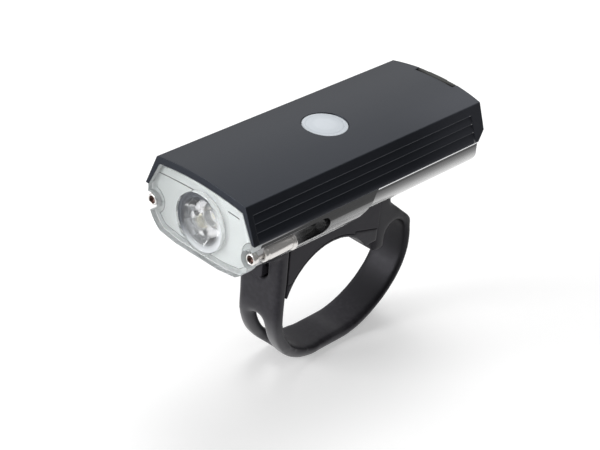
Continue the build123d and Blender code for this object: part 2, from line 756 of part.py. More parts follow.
sleeve_rear_y = ear_rear_y + glue_gap + sleeve_length
with BuildPart() as screw_sleeves:
    with BuildSketch(section_at(sleeve_rear_y)):
        with Locations(*channel_spots):
            Circle(sleeve_radius)
    extrude(amount=sleeve_length)
    with BuildSketch(section_at(sleeve_rear_y)):
        with Locations(*channel_spots):
            Circle(channel_radius - slip)
    extrude(amount=sleeve_ring_length)
    with BuildSketch(section_at(sleeve_rear_y)):
        with Locations(*channel_spots):
            Circle(screw_radius + glue_gap)
    extrude(amount=sleeve_length, mode=Mode.SUBTRACT)
save(screw_sleeves, "screw_sleeves")

# Inner frame: the plate clamped between the casings' posts and the shell's
# bosses. The battery lies under it and the circuit board stands on its pegs.
frame_front_y = post_front_y - frame_margin
frame_rear_y = post_rear_y + frame_margin
pegs = [(x, y) for x in (-peg_x, peg_x) for y in (peg_front_y, peg_rear_y)]
with BuildPart() as inner_frame:
    with BuildSketch(Plane.XY.offset(frame_z)):
        with Locations((0, frame_front_y)):
            Rectangle(2 * frame_half, frame_rear_y - frame_front_y, align=(Align.CENTER, Align.MIN))
        with Locations(*posts):
            Circle(shank_radius + glue_gap, mode=Mode.SUBTRACT)
        with Locations((-wire_x, wire_rise_y)):
            Rectangle(2 * slot_half, 2 * slot_reach, mode=Mode.SUBTRACT)
    extrude(amount=frame_thickness)
    with BuildSketch(Plane.XY.offset(frame_z)):
        with Locations(*pegs):
            Circle(peg_collar_radius)
    extrude(amount=frame_thickness + pcb_standoff - glue_gap)
    with BuildSketch(Plane.XY.offset(frame_z)):
        with Locations(*pegs):
            Circle(peg_radius)
    extrude(amount=pcb_top_z + peg_tip - frame_z)
save(inner_frame, "inner_frame")

# Circuit board with a tongue that reaches back to the charging socket.
with BuildPart() as circuit_board:
    with BuildSketch(Plane.XY.offset(pcb_z)):
        with BuildLine():
            Polyline((-pcb_half, pcb_front_y), (pcb_half, pcb_front_y), (pcb_half, pcb_shoulder_y),
                     (tongue_half, pcb_shoulder_y), (tongue_half, frame_rear_y),
                     (-tongue_half, frame_rear_y), (-tongue_half, pcb_shoulder_y),
                     (-pcb_half, pcb_shoulder_y), close=True)
        make_face()
        with Locations(*pegs):
            Circle(peg_radius + glue_gap, mode=Mode.SUBTRACT)
    extrude(amount=pcb_thickness)
save(circuit_board, "circuit_board")

# Battery pouch, the foam that steadies it and its protection board.
with BuildPart() as battery_cell:
    with Locations((0, battery_front_y, battery_foot_z)):
        Box(2 * battery_half, battery_rear_y - battery_front_y, battery_height,
            align=(Align.CENTER, Align.MIN, Align.MIN))
    fillet(battery_cell.edges().filter_by(Axis.Y), radius=battery_rounding)
save(battery_cell, "battery_cell")

with BuildPart() as battery_foam:
    with Locations((0, battery_rear_y - foam_rear_gap, battery_foot_z + battery_height + glue_gap)):
        Box(2 * foam_half, foam_length, foam_height, align=(Align.CENTER, Align.MAX, Align.MIN))
save(battery_foam, "battery_foam")

protection_y = battery_front_y - glue_gap - protection_thickness
with BuildPart() as protection_board:
    with Locations((0, protection_y, wire_low_z)):
        Box(2 * protection_half, protection_thickness, battery_height - 2 * protection_margin,
            align=(Align.CENTER, Align.MIN, Align.CENTER))
save(protection_board, "protection_board")

# Parts soldered on the circuit board.
chip_z = pcb_top_z + glue_gap
chip_x = pcb_half - chip_inset
with BuildPart() as driver_chip:
    with Locations((-chip_x, button_y + chip_reach, chip_z)):
        Box(2 * chip_half, 2 * chip_half, chip_height, align=(Align.CENTER, Align.CENTER, Align.MIN))
save(driver_chip, "driver_chip")

with BuildPart() as power_coil:
    with Locations((chip_x, button_y + coil_reach, chip_z)):
        Box(2 * coil_half, 2 * coil_half, coil_height, align=(Align.CENTER, Align.CENTER, Align.MIN))
    chamfer(power_coil.edges().filter_by(Axis.Z), length=coil_corner)
save(power_coil, "power_coil")

with BuildPart() as battery_connector:
    with Locations((-wire_x, connector_front_y, chip_z)):
        Box(2 * connector_half, connector_length, connector_height,
            align=(Align.CENTER, Align.MIN, Align.MIN))
save(battery_connector, "battery_connector")

with BuildPart() as status_led:
    with Locations((switch_half + light_gap + light_half, button_y, chip_z)):
        Box(2 * light_half, 2 * light_depth, light_height, align=(Align.CENTER, Align.CENTER, Align.MIN))
save(status_led, "status_led")

# Wires, each one bent in its own plane: a pair from the battery up to its
# connector, and a pair from the light source's board back to the circuit board.
for colour, lane in (("red", -wire_x - wire_pitch / 2), ("black", -wire_x + wire_pitch / 2)):
    route = [(protection_y - glue_gap, wire_low_z), (wire_rise_y, wire_low_z),
             (wire_rise_y, wire_high_z), (connector_front_y - glue_gap, wire_high_z)]
    with BuildPart() as battery_wire:
        with BuildLine(side_at(lane)) as path:
            FilletPolyline(*route, radius=wire_bend)
        with BuildSketch(Plane(origin=path.line @ 0, z_dir=path.line % 0)):
            Circle(wire_radius)
        sweep(path=path.line)
    save(battery_wire, f"battery_wire_{colour}")

for colour, lane in (("red", wire_x - wire_pitch / 2), ("black", wire_x + wire_pitch / 2)):
    route = [(sink_front_y, wire_high_z), (connector_front_y, wire_high_z),
             (connector_front_y, pcb_top_z + glue_gap)]
    with BuildPart() as led_wire:
        with BuildLine(side_at(lane)) as path:
            FilletPolyline(*route, radius=wire_bend)
        with BuildSketch(Plane(origin=path.line @ 0, z_dir=path.line % 0)):
            Circle(wire_radius)
        sweep(path=path.line)
    save(led_wire, f"led_wire_{colour}")

# Power button: a domed cap on a flange, with a stem down to the switch.
upright = Axis((0, button_y, 0), (0, 0, 1))
cap_rim_z = crown_z + button_proud - button_dome
with BuildPart() as power_button:
    with BuildSketch(side_at(0)):
        with BuildLine():
            ThreePointArc((button_y, cap_rim_z + button_dome),
                          (button_y + button_radius / 2, cap_rim_z + button_dome - button_dome / 4),
                          (button_y + button_radius, cap_rim_z))
            Polyline((button_y + button_radius, cap_rim_z), (button_y + button_radius, flange_top_z),
                     (button_y + button_flange_radius, flange_top_z),
                     (button_y + button_flange_radius, flange_top_z - button_flange),
                     (button_y + button_stem_radius, flange_top_z - button_flange),
                     (button_y + button_stem_radius, plunger_top_z + glue_gap),
                     (button_y, plunger_top_z + glue_gap), (button_y, cap_rim_z + button_dome))
        make_face()
    revolve(axis=upright)
save(power_button, "power_button")

# Button retainer: a cup glued under the roof, standing on two feet.
retainer_top_z = roof_inner_z - crown_rise * (retainer_radius / inner_shoulder_half) ** 2 - slip
with BuildPart() as button_retainer:
    with BuildSketch(Plane.XY.offset(retainer_z)):
        with Locations((0, button_y)):
            Circle(retainer_radius)
    extrude(amount=retainer_top_z - retainer_z)
    with BuildSketch(Plane.XY.offset(retainer_z + retainer_floor)):
        with Locations((0, button_y)):
            Circle(retainer_bore)
    extrude(amount=overrun, mode=Mode.SUBTRACT)
    with BuildSketch(Plane.XY.offset(retainer_z)):
        with Locations((0, button_y)):
            Circle(button_stem_radius + move_gap)
    extrude(amount=overrun, mode=Mode.SUBTRACT)
    with BuildSketch(Plane.XY.offset(chip_z)):
        with Locations((0, button_y)):
            with GridLocations(2 * (retainer_radius - retainer_foot_radius - slip), 0, 2, 1):
                Circle(retainer_foot_radius)
    extrude(amount=retainer_z + retainer_floor - chip_z)
save(button_retainer, "button_retainer")

with BuildPart() as tact_switch:
    with Locations((0, button_y, chip_z)):
        Box(2 * switch_half, 2 * switch_half, switch_height, align=(Align.CENTER, Align.CENTER, Align.MIN))
        Cylinder(plunger_radius + running, 2 * switch_height, mode=Mode.SUBTRACT)
save(tact_switch, "tact_switch")

with BuildPart() as switch_plunger:
    with Locations((0, button_y, plunger_top_z)):
        Cylinder(plunger_radius, plunger_length, align=(Align.CENTER, Align.CENTER, Align.MAX))
save(switch_plunger, "switch_plunger")

# Charging socket, mouth to the rear.
usb_rear_y = seat_y - usb_inset
with BuildPart() as usb_socket:
    with Locations((0, usb_rear_y, usb_z)):
        Box(2 * usb_half, usb_length, usb_height, align=(Align.CENTER, Align.MAX, Align.CENTER))
        Box(2 * (usb_half - usb_shell_wall), 2 * (usb_length - usb_floor), usb_height - 2 * usb_shell_wall,
            mode=Mode.SUBTRACT)
    with Locations((0, usb_rear_y - usb_shell_wall, usb_z)):
        Box(2 * usb_tongue_half, usb_length - usb_floor, usb_tongue,
            align=(Align.CENTER, Align.MAX, Align.CENTER))
save(usb_socket, "usb_socket")

# Rear cap: closes the shell above the battery cover, with a seat for the flap.
with BuildPart() as rear_cap:
    with BuildSketch(section_at(cover_rear_y)):
        add(shell_inside)
        offset(amount=-slip, mode=Mode.REPLACE)
    extrude(amount=cover_rear_y - seat_y + seat_wall)
    with BuildSketch(section_at(cover_rear_y + overrun)):
        with Locations((0, flap_foot_z - move_gap)):
            Rectangle(2 * (flap_half + move_gap), head_height, align=(Align.CENTER, Align.MIN))
    extrude(amount=cover_rear_y + overrun - seat_y, mode=Mode.SUBTRACT)
    with BuildSketch(section_at(cover_rear_y)):
        with Locations((0, usb_z)):
            Rectangle(2 * port_half, port_height)
    extrude(amount=2 * overrun, mode=Mode.SUBTRACT)
save(rear_cap, "rear_cap")

# Rubber cover of the charging socket, with its finger lip in the roof's notch.
lip_front_y = rear_y + rear_bow - notch_depth + move_gap
with BuildPart() as usb_cover:
    with Locations((0, flap_y, flap_foot_z)):
        Box(2 * flap_half, flap_thickness, flap_height, align=(Align.CENTER, Align.MIN, Align.MIN))
    with Locations((0, flap_y, usb_z)):
        Box(2 * plug_half, 2 * plug_depth, plug_height)
    with Locations((0, lip_front_y, crown_z - lip_drop)):
        Box(2 * lip_half, lip_thickness, lip_height, align=(Align.CENTER, Align.MIN, Align.MAX))
save(usb_cover, "usb_cover")

# Screws that hold the casings, from below.
with BuildPart() as cover_screws:
    for spots, floor_z in ((front_posts, head_floor), (rear_posts, cover_floor_z)):
        head_z = floor_z + cover_head_inset
        with BuildSketch(Plane.XY.offset(head_z)):
            with Locations(*spots):
                Circle(cover_head_radius)
        extrude(amount=cover_head_height - glue_gap)
        with BuildSketch(Plane.XY.offset(head_z)):
            with Locations(*spots):
                Circle(shank_radius)
        extrude(amount=cover_screw_top - head_z)
        with BuildSketch(Plane.XY.offset(head_z)):
            with Locations(*spots):
                RegularPolygon(radius=socket_radius, side_count=hex_sides)
        extrude(amount=socket_depth, mode=Mode.SUBTRACT)
save(cover_screws, "cover_screws")

# Swivel plate, screwed under the head. Its hub turns in the saddle's socket
# and holds the swivel nut; its rear half steps up to meet the battery cover.
plate_top_z = head_floor - glue_gap
plate_screws_at = [(0, -plate_screw_reach), (0, plate_screw_reach)]
nut_z = head_floor - nut_drop - nut_height
with BuildPart() as swivel_plate:
    with BuildSketch(Plane.XY.offset(plate_foot)):
        with Locations((0, plate_front_y)):
            Rectangle(2 * plate_half, plate_rear_y - plate_front_y, align=(Align.CENTER, Align.MIN))
    extrude(amount=plate_top_z - plate_foot)
    with BuildSketch(Plane.XY.offset(plate_foot)):
        with Locations((0, seam_foot_y + 2 * move_gap)):
            Rectangle(2 * plate_half, plate_rear_y - seam_foot_y - 2 * move_gap,
                      align=(Align.CENTER, Align.MIN))
    extrude(amount=cover_floor_z - glue_gap - plate_foot)
    with BuildSketch(Plane.XY.offset(hub_foot_z)):
        Circle(swivel_radius)
    extrude(amount=plate_thickness + swivel_drop - glue_gap)
    with BuildSketch(Plane.XY.offset(hub_foot_z)):
        Circle(swivel_screw_radius + glue_gap)
    extrude(amount=head_height, mode=Mode.SUBTRACT)
    with BuildSketch(Plane.XY.offset(nut_z - glue_gap)):
        RegularPolygon(radius=nut_half + slip, side_count=hex_sides, major_radius=False)
    extrude(amount=head_height, mode=Mode.SUBTRACT)
    with BuildSketch(Plane.XY.offset(plate_foot)):
        with Locations(*plate_screws_at):
            Circle(plate_head_radius + slip)
    extrude(amount=plate_head_inset + plate_head_height, mode=Mode.SUBTRACT)
    with BuildSketch(Plane.XY.offset(plate_foot)):
        with Locations(*plate_screws_at):
            Circle(screw_radius + glue_gap)
    extrude(amount=head_height, mode=Mode.SUBTRACT)
save(swivel_plate, "swivel_plate")

plate_head_z = plate_foot + plate_head_inset
with BuildPart() as plate_screws:
    with BuildSketch(Plane.XY.offset(plate_head_z)):
        with Locations(*plate_screws_at):
            Circle(plate_head_radius)
    extrude(amount=plate_head_height - glue_gap)
    with BuildSketch(Plane.XY.offset(plate_head_z)):
        with Locations(*plate_screws_at):
            Circle(screw_radius)
    extrude(amount=plate_head_height + plate_shank_length)
    with BuildSketch(Plane.XY.offset(plate_head_z)):
        with Locations(*plate_screws_at):
            RegularPolygon(radius=socket_radius, side_count=hex_sides)
    extrude(amount=socket_depth, mode=Mode.SUBTRACT)
save(plate_screws, "plate_screws")

# Swivel screw from below, its washer and its nut.
swivel_head_z = bar_radius + swivel_head_lift
swivel_shank_z = swivel_head_z + swivel_head_height
with BuildPart() as swivel_screw:
    with BuildSketch(Plane.XY.offset(swivel_head_z)):
        Circle(swivel_head_radius)
    extrude(amount=swivel_head_height)
    with BuildSketch(Plane.XY.offset(swivel_head_z)):
        Circle(swivel_screw_radius)
    extrude(amount=nut_z + nut_height - swivel_head_z)
    with BuildSketch(Plane.XY.offset(swivel_head_z)):
        RegularPolygon(radius=socket_radius * 2, side_count=hex_sides)
    extrude(amount=socket_depth, mode=Mode.SUBTRACT)
save(swivel_screw, "swivel_screw")

with BuildPart() as swivel_washer:
    with BuildSketch(Plane.XY.offset(swivel_shank_z + glue_gap)):
        Circle(washer_radius)
        Circle(swivel_screw_radius + glue_gap, mode=Mode.SUBTRACT)
    extrude(amount=washer_thickness)
save(swivel_washer, "swivel_washer")

with BuildPart() as swivel_nut:
    with BuildSketch(Plane.XY.offset(nut_z)):
        RegularPolygon(radius=nut_half, side_count=hex_sides, major_radius=False)
        Circle(swivel_screw_radius + glue_gap, mode=Mode.SUBTRACT)
    extrude(amount=nut_height)
save(swivel_nut, "swivel_nut")

# Saddle: the block over the bore, with the swivel's socket on top, a
# pocket for the strap at the rear and a hook for its free end in front.
saddle_bore = bar_radius + pad_thickness
pad_rear_z = saddle_foot_z + pad_wedge_rise
pad_lip_z = saddle_foot_z + pad_wedge_lip_rise
pin_y = saddle_rear_y - pin_inset
pin_z = tenon_foot_z + tenon_height / 2
washer_room_z = swivel_shank_z + glue_gap + washer_thickness + move_gap
hook_front_y = -(strap_outer + move_gap)
with BuildPart() as mount_saddle:
    with BuildSketch(side_at(-saddle_half)):
        with Locations((saddle_front_y, saddle_foot_z)):
            Rectangle(saddle_rear_y - saddle_front_y, saddle_top - saddle_foot_z,
                      align=(Align.MIN, Align.MIN))
        with BuildLine():
            Polyline((pad_wedge_front_y, saddle_foot_z), (pad_wedge_front_y, pad_lip_z),
                     (saddle_rear_y, pad_rear_z), (saddle_rear_y, saddle_foot_z), close=True)
        make_face(mode=Mode.SUBTRACT)
        Circle(saddle_bore, mode=Mode.SUBTRACT)
    extrude(amount=2 * saddle_half)
    with BuildSketch(Plane.XY.offset(hub_foot_z - move_gap)):
        Circle(swivel_radius + move_gap)
    extrude(amount=overrun, mode=Mode.SUBTRACT)
    with BuildSketch(Plane.XY.offset(bar_radius)):
        Circle(swivel_screw_radius + running)
    extrude(amount=overrun, mode=Mode.SUBTRACT)
    with BuildSketch(Plane.XY.offset(bar_radius)):
        Circle(washer_radius + move_gap)
    extrude(amount=washer_room_z - bar_radius, mode=Mode.SUBTRACT)
    with BuildSketch(section_at(saddle_rear_y)):
        with Locations((0, pin_z)):
            Rectangle(2 * (tenon_half + slip), tenon_height + 2 * slip)
    extrude(amount=tenon_length + slip, mode=Mode.SUBTRACT)
    with BuildSketch(side_at(-saddle_half)):
        with Locations((pin_y, pin_z)):
            Circle(pin_radius + glue_gap)
    extrude(amount=2 * saddle_half - pin_cover, mode=Mode.SUBTRACT)
    with BuildSketch(section_at(saddle_front_y + pad_thickness)):
        with Locations((0, hook_foot_z)):
            SlotOverall(hook_height + 2 * hook_half, 2 * hook_half, rotation=90,
                        align=(Align.MIN, Align.CENTER))
            Rectangle(2 * hook_half, hook_height, align=(Align.CENTER, Align.MIN), mode=Mode.INTERSECT)
    extrude(amount=saddle_front_y + pad_thickness - hook_front_y)
    with BuildSketch(section_at(hook_front_y)):
        with Locations((0, hook_foot_z)):
            SlotOverall(hook_height + 2 * hook_half, 2 * hook_half, rotation=90,
                        align=(Align.MIN, Align.CENTER))
            Rectangle(2 * hook_half, hook_height + hook_lip_rise, align=(Align.CENTER, Align.MIN),
                      mode=Mode.INTERSECT)
    extrude(amount=hook_lip)
save(mount_saddle, "mount_saddle")

# Rubber liner between the saddle and the bore, thicker at the rear and
# with a toe below the front of the saddle.
with BuildPart() as saddle_pad:
    with BuildSketch(side_at(-pad_half)):
        Circle(saddle_bore - glue_gap)
        with BuildLine():
            Polyline((pad_wedge_front_y + glue_gap, saddle_foot_z),
                     (pad_wedge_front_y + glue_gap, pad_lip_z - glue_gap),
                     (saddle_rear_y, pad_rear_z - glue_gap), (saddle_rear_y, saddle_foot_z), close=True)
        make_face()
        with Locations((0, saddle_foot_z - 2 * glue_gap)):
            Rectangle(2 * strap_outer, 2 * bar_radius, align=(Align.CENTER, Align.MIN), mode=Mode.INTERSECT)
        with Locations((saddle_front_y, saddle_foot_z - glue_gap)):
            Rectangle(pad_toe_depth, pad_toe_drop, align=(Align.MIN, Align.MAX))
        Circle(bar_radius, mode=Mode.SUBTRACT)
    extrude(amount=2 * pad_half)
    with BuildSketch(Plane.XY.offset(bar_radius - pad_thickness)):
        Circle(washer_radius + move_gap)
    extrude(amount=overrun, mode=Mode.SUBTRACT)
save(saddle_pad, "saddle_pad")

# Rubber strap: a tenon pinned in the saddle, the loop behind the bore and
# the run beneath it. Its free end is the next piece.
root_front_y = saddle_rear_y + glue_gap
crest_y = saddle_rear_y + root_length
crest_z = root_top_z - root_step
brow_y, brow_z = crest_y + shoulder_run, crest_z - shoulder_drop
loop_y = strap_rear_y - leg_foot_z - strap_outer
arch_y = strap_rear_y - strap_rear_thickness - arch_radius
brow_foot_z = brow_z - (strap_rear_y - brow_y)
with BuildPart() as strap:
    with BuildSketch(side_at(-strap_rear_half)):
        with BuildLine():
            Polyline((root_front_y, root_top_z), (crest_y, root_top_z), (crest_y, crest_z), (brow_y, brow_z),
                     (strap_rear_y, brow_foot_z), (strap_rear_y, leg_foot_z))
            CenterArc((loop_y, leg_foot_z), leg_foot_z + strap_outer, 0, -90)
            Polyline((loop_y, -strap_outer), (move_gap / 2, -strap_outer), (move_gap / 2, -bar_radius),
                     (strap_rear_y - strap_rear_thickness - leg_foot_z - bar_radius, -bar_radius))
            CenterArc((strap_rear_y - strap_rear_thickness - leg_foot_z - bar_radius, leg_foot_z),
                      leg_foot_z + bar_radius, -90, 90)
            Line((arch_y + arch_radius, leg_foot_z), (arch_y + arch_radius, arch_z))
            CenterArc((arch_y, arch_z), arch_radius, 0, 180)
            Polyline((arch_y - arch_radius, arch_z), (arch_y - arch_radius, leg_foot_z),
                     (root_front_y, leg_foot_z), (root_front_y, root_top_z))
        make_face()
    extrude(amount=2 * strap_rear_half)
    brows = strap.edges().filter_by(Axis.X).filter_by_position(Axis.Y, brow_y - slip, strap_rear_y + slip)
    fillet(brows.sort_by(Axis.Z)[-2:], radius=crest_rounding)
    with Locations((0, root_front_y + pin_radius, pin_z)):
        Box(2 * tenon_half, tenon_length + pin_radius, tenon_height,
            align=(Align.CENTER, Align.MAX, Align.CENTER))
    with BuildSketch(side_at(-strap_rear_half)):
        with Locations((pin_y, pin_z)):
            Circle(pin_radius + glue_gap)
    extrude(amount=2 * strap_rear_half, mode=Mode.SUBTRACT)
save(strap, "strap")

with BuildPart() as strap_pin:
    with BuildSketch(side_at(-saddle_half)):
        with Locations((pin_y, pin_z)):
            Circle(pin_radius)
    extrude(amount=2 * saddle_half - pin_cover - glue_gap)
save(strap_pin, "strap_pin")

# Free end of the strap: up the front of the bore and over the hook, with
# a long slot low down and a pull tab at the top.
with BuildPart() as strap_tail:
    with BuildSketch(side_at(-strap_half)):
        Circle(strap_outer)
        with Locations((-move_gap / 2, 0)):
            Rectangle(strap_outer, strap_outer, align=(Align.MAX, Align.MAX), mode=Mode.INTERSECT)
        with Locations((-bar_radius, 0)):
            Rectangle(strap_thickness, strap_top_z, align=(Align.MAX, Align.MIN))
        with Locations((-bar_radius, strap_top_z)):
            Rectangle(strap_thickness + tab_length, tab_thickness, align=(Align.MAX, Align.MAX))
        Circle(bar_radius, mode=Mode.SUBTRACT)
    extrude(amount=2 * strap_half)
    with BuildSketch(section_at(0)):
        with BuildLine():
            Polyline((-strap_rear_half, -strap_outer), (strap_rear_half, -strap_outer),
                     (strap_half, tail_taper_z), (strap_half, strap_top_z), (-strap_half, strap_top_z),
                     (-strap_half, tail_taper_z), close=True)
        make_face()
    extrude(amount=2 * strap_outer, mode=Mode.INTERSECT)
    with BuildSketch(section_at(-pad_thickness)):
        with Locations((0, (hole_foot_z + hole_top_z) / 2)):
            SlotOverall(hole_top_z - hole_foot_z, 2 * hole_half, rotation=90)
        with Locations((0, (slot_foot_z + slot_top_z) / 2)):
            SlotOverall(slot_top_z - slot_foot_z, slot_width, rotation=90)
    extrude(amount=2 * strap_outer, mode=Mode.SUBTRACT)
save(strap_tail, "strap_tail")
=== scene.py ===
from math import cos, pi, radians, sin, tan

import bmesh
import bpy
from mathutils import Matrix, Vector


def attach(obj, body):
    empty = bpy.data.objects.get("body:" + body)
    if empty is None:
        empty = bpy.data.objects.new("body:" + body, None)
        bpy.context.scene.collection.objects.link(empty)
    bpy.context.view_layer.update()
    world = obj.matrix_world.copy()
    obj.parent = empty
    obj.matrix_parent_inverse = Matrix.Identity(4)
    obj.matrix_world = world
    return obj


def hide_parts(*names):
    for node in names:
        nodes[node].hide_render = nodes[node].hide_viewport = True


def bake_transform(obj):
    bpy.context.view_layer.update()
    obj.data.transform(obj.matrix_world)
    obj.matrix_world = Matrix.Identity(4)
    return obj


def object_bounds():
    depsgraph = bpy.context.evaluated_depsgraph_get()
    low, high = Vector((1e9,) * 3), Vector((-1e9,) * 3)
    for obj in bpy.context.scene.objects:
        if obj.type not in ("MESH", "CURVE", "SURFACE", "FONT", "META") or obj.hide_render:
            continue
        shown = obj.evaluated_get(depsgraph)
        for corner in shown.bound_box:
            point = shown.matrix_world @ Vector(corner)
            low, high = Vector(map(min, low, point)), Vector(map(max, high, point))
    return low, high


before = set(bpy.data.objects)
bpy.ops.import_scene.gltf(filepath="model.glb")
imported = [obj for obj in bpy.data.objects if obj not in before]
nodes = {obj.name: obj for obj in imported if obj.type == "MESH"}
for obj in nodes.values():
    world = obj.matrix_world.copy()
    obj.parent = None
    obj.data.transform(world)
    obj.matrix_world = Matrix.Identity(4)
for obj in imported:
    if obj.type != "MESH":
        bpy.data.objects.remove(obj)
cad_low, cad_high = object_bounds()

# Studio. The camera stands where the photograph was taken from, in front of the headlight
# and above it. A large soft lamp hangs overhead and another stands in front. The surround
# is white, and dark near the horizon where gloss reflects it.
mm = 0.001
camera_place = Vector((239.05, -271.88, 240.63)) * mm
camera_azimuth, camera_elevation, camera_roll = radians(41.9), radians(31.7), radians(5.0)
field_of_view = radians(20.0)
backward = Vector((sin(camera_azimuth) * cos(camera_elevation),
                   -cos(camera_azimuth) * cos(camera_elevation), sin(camera_elevation)))
level = Vector((cos(camera_azimuth), sin(camera_azimuth), 0))
upward = backward.cross(level)
right = cos(camera_roll) * level + sin(camera_roll) * upward
top = -sin(camera_roll) * level + cos(camera_roll) * upward
camera_data = bpy.data.cameras.new("camera")
camera_data.sensor_fit = "HORIZONTAL"
camera_data.lens = camera_data.sensor_width / 2 / tan(field_of_view / 2)
camera_data.clip_start, camera_data.clip_end = 0.01, 10.0
camera = bpy.data.objects.new("camera", camera_data)
camera.matrix_world = (Matrix.Translation(camera_place) @
                       Matrix((right, top, backward)).transposed().to_4x4())
bpy.context.collection.objects.link(camera)
bpy.context.scene.camera = camera
bpy.context.scene.view_settings.view_transform = "Standard"
lamp_target = Vector((0, 0, 30)) * mm


def soft_lamp(name, place, width, power, glossy=True):
    """A square soft lamp that looks at the middle of the headlight. Metres and watts."""
    data = bpy.data.lights.new(name, "AREA")
    data.size, data.energy = width, power
    lamp = bpy.data.objects.new(name, data)
    lamp.location, lamp.visible_glossy = place, glossy
    aim = lamp_target - Vector(place)
    lamp.rotation_euler = aim.to_track_quat("-Z", "Y").to_euler()
    bpy.context.collection.objects.link(lamp)


soft_lamp("overhead lamp", place=(-0.2, 0.25, 0.7), width=0.45, power=2.6, glossy=False)
soft_lamp("front lamp", place=(-0.3, -0.65, 0.25), width=0.35, power=3.4)


class Socket:
    """A value in a material: sums and comparisons on it add their Math nodes."""

    def __init__(self, finish, output):
        self.finish, self.output = finish, output

    def math(self, operation, other=0.0, swapped=False):
        pair = (other, self) if swapped else (self, other)
        return self.finish.add("ShaderNodeMath", {"operation": operation},
                               {0: pair[0], 1: pair[1]})

    def __add__(self, other):
        return self.math("ADD", other)

    def __sub__(self, other):
        return self.math("SUBTRACT", other)

    def __mul__(self, other):
        return self.math("MULTIPLY", other)

    def __truediv__(self, other):
        return self.math("DIVIDE", other)

    def __pow__(self, other):
        return self.math("POWER", other)

    def __radd__(self, other):
        return self.math("ADD", other, swapped=True)

    def __rsub__(self, other):
        return self.math("SUBTRACT", other, swapped=True)

    def __rmul__(self, other):
        return self.math("MULTIPLY", other, swapped=True)

    def __gt__(self, other):
        return self.math("GREATER_THAN", other)

    def __lt__(self, other):
        return self.math("LESS_THAN", other)

    def __abs__(self):
        return self.math("ABSOLUTE")


class Finish:
    """The nodes of a material or of the surround, up to its last shader."""

    def __init__(self, owner, last):
        self.owner, self.tree = owner, owner.node_tree
        self.last = self.tree.nodes[last]

    def add(self, kind, settings, inputs, output=0):
        """Adds a node: its settings come first, then the values or links of its sockets."""
        node = self.tree.nodes.new(kind)
        for name, value in settings.items():
            setattr(node, name, value)
        for name, value in inputs.items():
            self.join(value, node.inputs[name])
        return Socket(self, node.outputs[output])

    def join(self, value, socket):
        """Links a value from another node, or sets a plain one."""
        if isinstance(value, Socket):
            self.tree.links.new(value.output, socket)
        else:
            socket.default_value = value

    def feed(self, inputs):
        """Sets or links sockets of the last shader."""
        for name, value in inputs.items():
            self.join(value, self.last.inputs[name])

    def point(self):
        """Object coordinates in metres, as a vector."""
        return self.add("ShaderNodeTexCoord", {}, {}, "Object")

    def place(self):
        """Object coordinates in metres, as three values."""
        point = self.point()
        return [self.add("ShaderNodeSeparateXYZ", {}, {0: point}, axis) for axis in "XYZ"]

    def facing(self):
        """The surface's own direction, as three values."""
        normal = self.add("ShaderNodeTexCoord", {}, {}, "Normal")
        return [self.add("ShaderNodeSeparateXYZ", {}, {0: normal}, axis) for axis in "XYZ"]

    def noise(self, size, detail=2.0, stretch=(1, 1, 1)):
        """Noise from 0 to 1 with grains of a size in metres."""
        vector = self.add("ShaderNodeMapping", {}, {"Vector": self.point(), "Scale": stretch})
        return self.add("ShaderNodeTexNoise", {},
                        {"Vector": vector, "Scale": 1 / size, "Detail": detail})

    def ramp(self, value, low, high):
        """0 where a value is at or below low, 1 from high on, smooth between."""
        return self.add("ShaderNodeMapRange", {"interpolation_type": "SMOOTHSTEP"},
                        {"Value": value, "From Min": low, "From Max": high})

    def shade(self, amount, first, second):
        """A colour between two, each a colour or another mix."""
        pair = [(*colour, 1) if isinstance(colour, tuple) else colour for colour in (first, second)]
        return self.add("ShaderNodeMix", {"data_type": "RGBA"},
                        {0: amount, 6: pair[0], 7: pair[1]}, 2)

    def relief(self, height, depth, edge=0.0):
        """Bumps of a depth in metres, on edges rounded by a radius in metres."""
        inputs = {"Height": height, "Distance": depth}
        if edge:
            inputs["Normal"] = self.add("ShaderNodeBevel", {"samples": 4}, {"Radius": edge})
        self.feed({"Normal": self.add("ShaderNodeBump", {}, inputs)})


def seen_share(finish):
    """1 for the camera and through glass, and its own value for gloss."""
    kinds = [finish.add("ShaderNodeLightPath", {}, {}, f"Is {kind} Ray")
             for kind in ("Camera", "Transmission", "Glossy")]
    return (kinds[0] + kinds[1]) > 0.5, kinds[2]


surround = bpy.data.worlds.new("surround")
surround.use_nodes = True
bpy.context.scene.world = surround
air = Finish(surround, "Background")
direct, gloss_rays = seen_share(air)
bearing = air.add("ShaderNodeTexCoord", {}, {}, "Generated")
rise = air.add("ShaderNodeSeparateXYZ", {}, {0: bearing}, "Z")
rightward = air.add("ShaderNodeSeparateXYZ", {}, {0: bearing}, "X")
darker_right = 1 - 0.92 * air.ramp(rightward, -0.15, 0.45)
ceiling = 0.03 + 0.97 * air.ramp(rise, 0.0, 0.36) * darker_right
fill = 0.5
brightness = direct + (1 - direct) * (gloss_rays * ceiling + (1 - gloss_rays) * fill)
air.feed({"Color": air.shade(brightness, (0, 0, 0), (1, 1, 1)), "Strength": 1.0})

# Floor. A wide sheet of pale paper that lies just under the headlight. It keeps the soft
# shadow, and gloss sees it only near the headlight.


def material(name, colour, roughness, settings=None):
    """A new material with one colour and roughness, to which more is added."""
    new = bpy.data.materials.new(name)
    new.use_nodes = True
    finish = Finish(new, "Principled BSDF")
    finish.feed({"Base Color": (*colour, 1), "Roughness": roughness, **(settings or {})})
    return finish


def distance(first, second):
    """Distance from an axis, from two offsets across it."""
    return (first * first + second * second) ** 0.5


